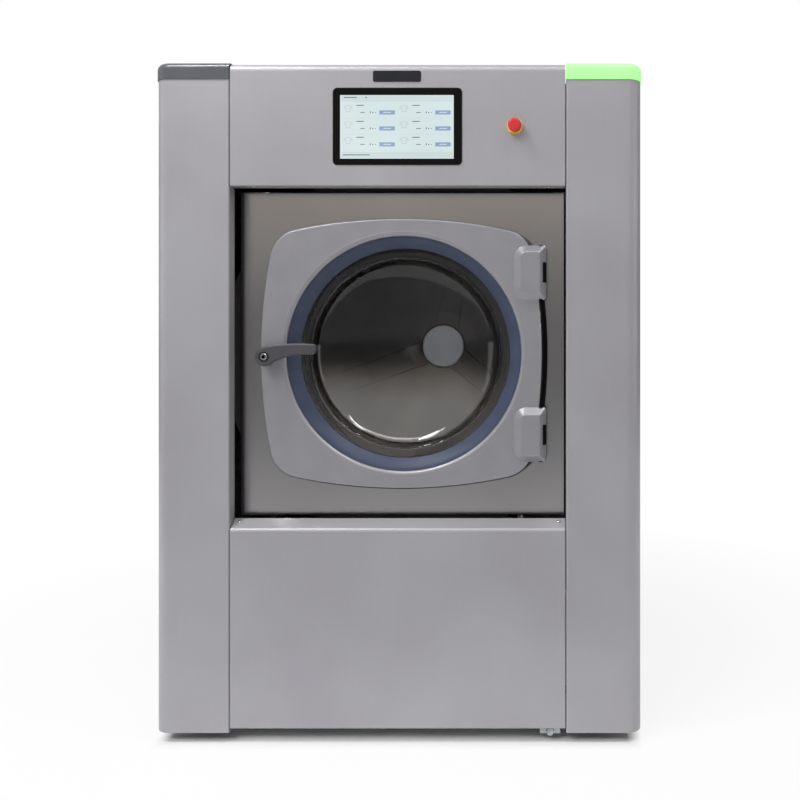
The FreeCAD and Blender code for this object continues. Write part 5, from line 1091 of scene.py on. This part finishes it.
def plain_floor():
    """Pale floor that keeps the object's shadow and meets the white ground without a line. It is not
    white under the machine, so that gaps there stay dark."""
    begin()
    bpy.ops.mesh.primitive_plane_add(size=FLOOR_SIZE, location=(0, 0, 0))
    floor = named("studio_floor")
    finish, tree, place = start_finish("white_floor_paint")
    specks = add(tree, "ShaderNodeTexNoise", {"Vector": place, "Scale": 3.0})
    tone = add(tree, "ShaderNodeValToRGB", {"Fac": specks}, [(0.3, "#F2F2F2"), (0.7, "#F6F6F6")])
    coat = add(tree, "ShaderNodeBsdfDiffuse", {"Color": tone})
    white = add(tree, "ShaderNodeEmission", {"Color": linear("#FFFFFF"), "Strength": 1.0})
    reach = add(tree, "ShaderNodeVectorMath", {0: place}, operation="LENGTH")
    ground = add(
        tree, "ShaderNodeMapRange",
        {"Value": reach, "From Min": SHADOW_FROM, "From Max": SHADOW_TO, "To Min": SHADOW_WHITE},
    )
    under = add(tree, "ShaderNodeVectorMath", {0: place, 1: UNDER_MACHINE}, operation="DIVIDE")
    under = add(tree, "ShaderNodeVectorMath", {0: under}, operation="ABSOLUTE")
    sides = add(tree, "ShaderNodeSeparateXYZ", {0: under}).outputs
    outside = add(tree, "ShaderNodeMath", {0: sides["X"], 1: sides["Y"]}, operation="MAXIMUM")
    clear = add(tree, "ShaderNodeMapRange", {"Value": outside, "From Min": 0.94, "From Max": 1.0})
    share = add(tree, "ShaderNodeMath", {0: seen_share(tree), 1: ground}, operation="MULTIPLY")
    share = add(tree, "ShaderNodeMath", {0: share, 1: clear}, operation="MULTIPLY")
    both = add(tree, "ShaderNodeMixShader", {0: share, 1: coat, 2: white})
    add(tree, "ShaderNodeOutputMaterial", {"Surface": both})
    floor.data.materials.append(finish)


def graded_light(name, axis, start, end, stops, strength=1.0):
    """Light of a stage card whose tone changes along an axis, between two places."""
    finish, tree, place = start_finish(name)
    along = add(tree, "ShaderNodeSeparateXYZ", {0: place}).outputs[axis]
    share = add(tree, "ShaderNodeMapRange", {"Value": along, "From Min": start, "From Max": end})
    tone = add(tree, "ShaderNodeValToRGB", {"Fac": share}, stops)
    glow = add(tree, "ShaderNodeEmission", {"Color": tone, "Strength": strength})
    add(tree, "ShaderNodeOutputMaterial", {"Surface": glow})
    return finish


def show_only_in(card, metal, glass):
    """Stage piece that gives no light and that only mirrors or only rays through glass meet."""
    card.visible_camera = False
    card.visible_diffuse = False
    card.visible_shadow = False
    card.visible_glossy = metal
    card.visible_transmission = glass


ROOM_LOW = Vector((-4.2, -4.8, 0.0))
ROOM_HIGH = Vector((4.2, 5.0, 3.6))
ROOM_FLOOR_LIFT = 4 * MM


def room(name, paint_name, stops, strength, has_floor):
    """Box round the set whose tone changes with height; stops are heights in metres and colours."""
    begin()
    bpy.ops.mesh.primitive_cube_add(
        size=1, location=(ROOM_LOW + ROOM_HIGH) / 2, scale=ROOM_HIGH - ROOM_LOW,
    )
    walls = named(name)
    settle()
    bpy.ops.object.mode_set(mode="EDIT")
    bpy.ops.mesh.select_all(action="SELECT")
    bpy.ops.mesh.flip_normals()
    pick(walls, "FACE", lambda f: f.normal.z > FACING)
    if has_floor:
        bpy.ops.transform.translate(value=(0, 0, ROOM_FLOOR_LIFT))
    else:
        bpy.ops.mesh.delete(type="FACE")
    bpy.ops.object.mode_set(mode="OBJECT")
    shares = [(z / ROOM_HIGH.z, colour) for z, colour in stops]
    walls.data.materials.append(graded_light(paint_name, "Z", 0.0, ROOM_HIGH.z, shares, strength))
    return walls


def studio_rooms():
    """Grey room that the metal mirrors, dark at the height of a bench and light under the ceiling, and
    a darker room with a bright ceiling that the drum mirrors through the glass."""
    grey = room(
        "studio_room", "grey_wall_paint",
        [
            (0.0, "#7C7C7E"), (0.5, "#66666A"), (0.85, "#6E6D71"), (1.3, "#8C8B8C"), (1.65, "#AEA8A3"),
            (2.8, "#B0ACA8"), (3.6, "#D6D5D3"),
        ],
        1.0, False,
    )
    show_only_in(grey, True, False)
    dark = room(
        "drum_side_room", "dark_wall_paint",
        [(0.0, "#101012"), (1.2, "#1C1C1E"), (1.8, "#827F7A"), (2.4, "#D8D4CE"), (3.6, "#FFFFFF")],
        2.6, True,
    )
    show_only_in(dark, False, True)


HUB_CARD_SIZE = 0.6
HUB_CARD_PLACE = (-0.62, ROOM_LOW.y + 0.1, 0.6)


def hub_card():
    """Small grey card far behind the camera, which the polished hub mirrors."""
    begin()
    bpy.ops.mesh.primitive_plane_add(
        size=HUB_CARD_SIZE, location=HUB_CARD_PLACE, rotation=(math.radians(90), 0, 0),
    )
    card = named("hub_card")
    settle()
    foot = HUB_CARD_PLACE[2] - HUB_CARD_SIZE / 2
    stops = [(0.0, "#E0E4EC"), (1.0, "#A4A8B0")]
    card.data.materials.append(graded_light("grey_card", "Z", foot, foot + HUB_CARD_SIZE, stops))
    show_only_in(card, False, True)


MAT_GAP = 0.5
MAT_LIFT = 2 * MM


def floor_mat():
    """Grey mat before the machine, which its lower front mirrors."""
    begin()
    front = ROOM_LOW.y
    back = FRONT_Y - MAT_GAP
    bpy.ops.mesh.primitive_plane_add(size=1, location=(0, (front + back) / 2, MAT_LIFT))
    mat = named("studio_mat")
    mat.scale = (ROOM_HIGH.x - ROOM_LOW.x, back - front, 1)
    settle()
    stops = [(0.0, "#84848A"), (0.45, "#ACACB0"), (1.0, "#ACACB0")]
    mat.data.materials.append(graded_light("grey_floor_mat", "Y", front, back, stops))
    show_only_in(mat, True, False)


def lamp(name, place, target, width, height, radiance, mirrored=True):
    """Soft box that faces the target; its power follows from the brightness of its face. One that is
    not mirrored leaves no bright patch on glass or metal."""
    light = bpy.data.lights.new(name, "AREA")
    light.shape = "RECTANGLE"
    light.size = width
    light.size_y = height
    light.energy = radiance * math.pi * width * height
    holder = bpy.data.objects.new(name, light)
    holder.location = place
    holder.rotation_euler = (Vector(target) - Vector(place)).to_track_quat("-Z", "Y").to_euler()
    holder.visible_glossy = mirrored
    holder.visible_transmission = mirrored
    bpy.context.scene.collection.objects.link(holder)


def white_ground():
    """Even studio light from all round, and a white ground for the camera, metal and glass."""
    world = bpy.data.worlds.new("studio")
    bpy.context.scene.world = world
    world.use_nodes = True
    tree = world.node_tree
    tree.nodes.clear()
    light = add(tree, "ShaderNodeBackground", {"Color": linear("#FFFFFF"), "Strength": 0.3})
    white = add(tree, "ShaderNodeBackground", {"Color": linear("#FFFFFF"), "Strength": 1.0})
    both = add(tree, "ShaderNodeMixShader", {0: seen_share(tree), 1: light, 2: white})
    add(tree, "ShaderNodeOutputWorld", {"Surface": both})


plain_floor()
studio_rooms()
hub_card()
floor_mat()
white_ground()
CEILING_TUBE_X = (-1.3, -1.05, 1.3)
for number, x in enumerate(CEILING_TUBE_X):
    lamp("ceiling_tube_%d" % (number + 1), (x, -1.35, 3.1), (x * 0.6, -0.8, 0.6), 0.09, 1.0, 40.0)
lamp("front_tube", (0, -1.2, 2.8), (0, -0.7, 0.4), 2.4, 0.12, 10.0)
lamp("fill_softbox", (-2.0, -3.7, 3.5), (0, -0.5, 0.5), 3.0, 1.6, 8.0, mirrored=False)
lamp("left_softbox", (-4.0, -1.2, 1.2), (-0.4, 0, 0.7), 1.6, 2.0, 0.7)
lamp("right_softbox", (4.0, -1.2, 1.2), (0.4, 0, 0.7), 1.6, 2.0, 1.0)

PIXELS = 800
FOCAL_PIXELS = 925
SENSOR = 36.0
CENTRE_PIXEL = (562.5, 323.0)
CAMERA_PLACE = (0.330, FRONT_Y - 1.85, 0.84)
camera = bpy.data.cameras.new("front_camera")
camera.sensor_width = SENSOR
camera.lens = FOCAL_PIXELS / PIXELS * SENSOR
camera.shift_x = (PIXELS / 2 - CENTRE_PIXEL[0]) / PIXELS
camera.shift_y = (CENTRE_PIXEL[1] - PIXELS / 2) / PIXELS
holder = bpy.data.objects.new("front_camera", camera)
holder.location = CAMERA_PLACE
holder.rotation_euler = (math.radians(90), 0, 0)
bpy.context.scene.collection.objects.link(holder)
bpy.context.scene.camera = holder
bpy.context.scene.view_settings.view_transform = "Standard"
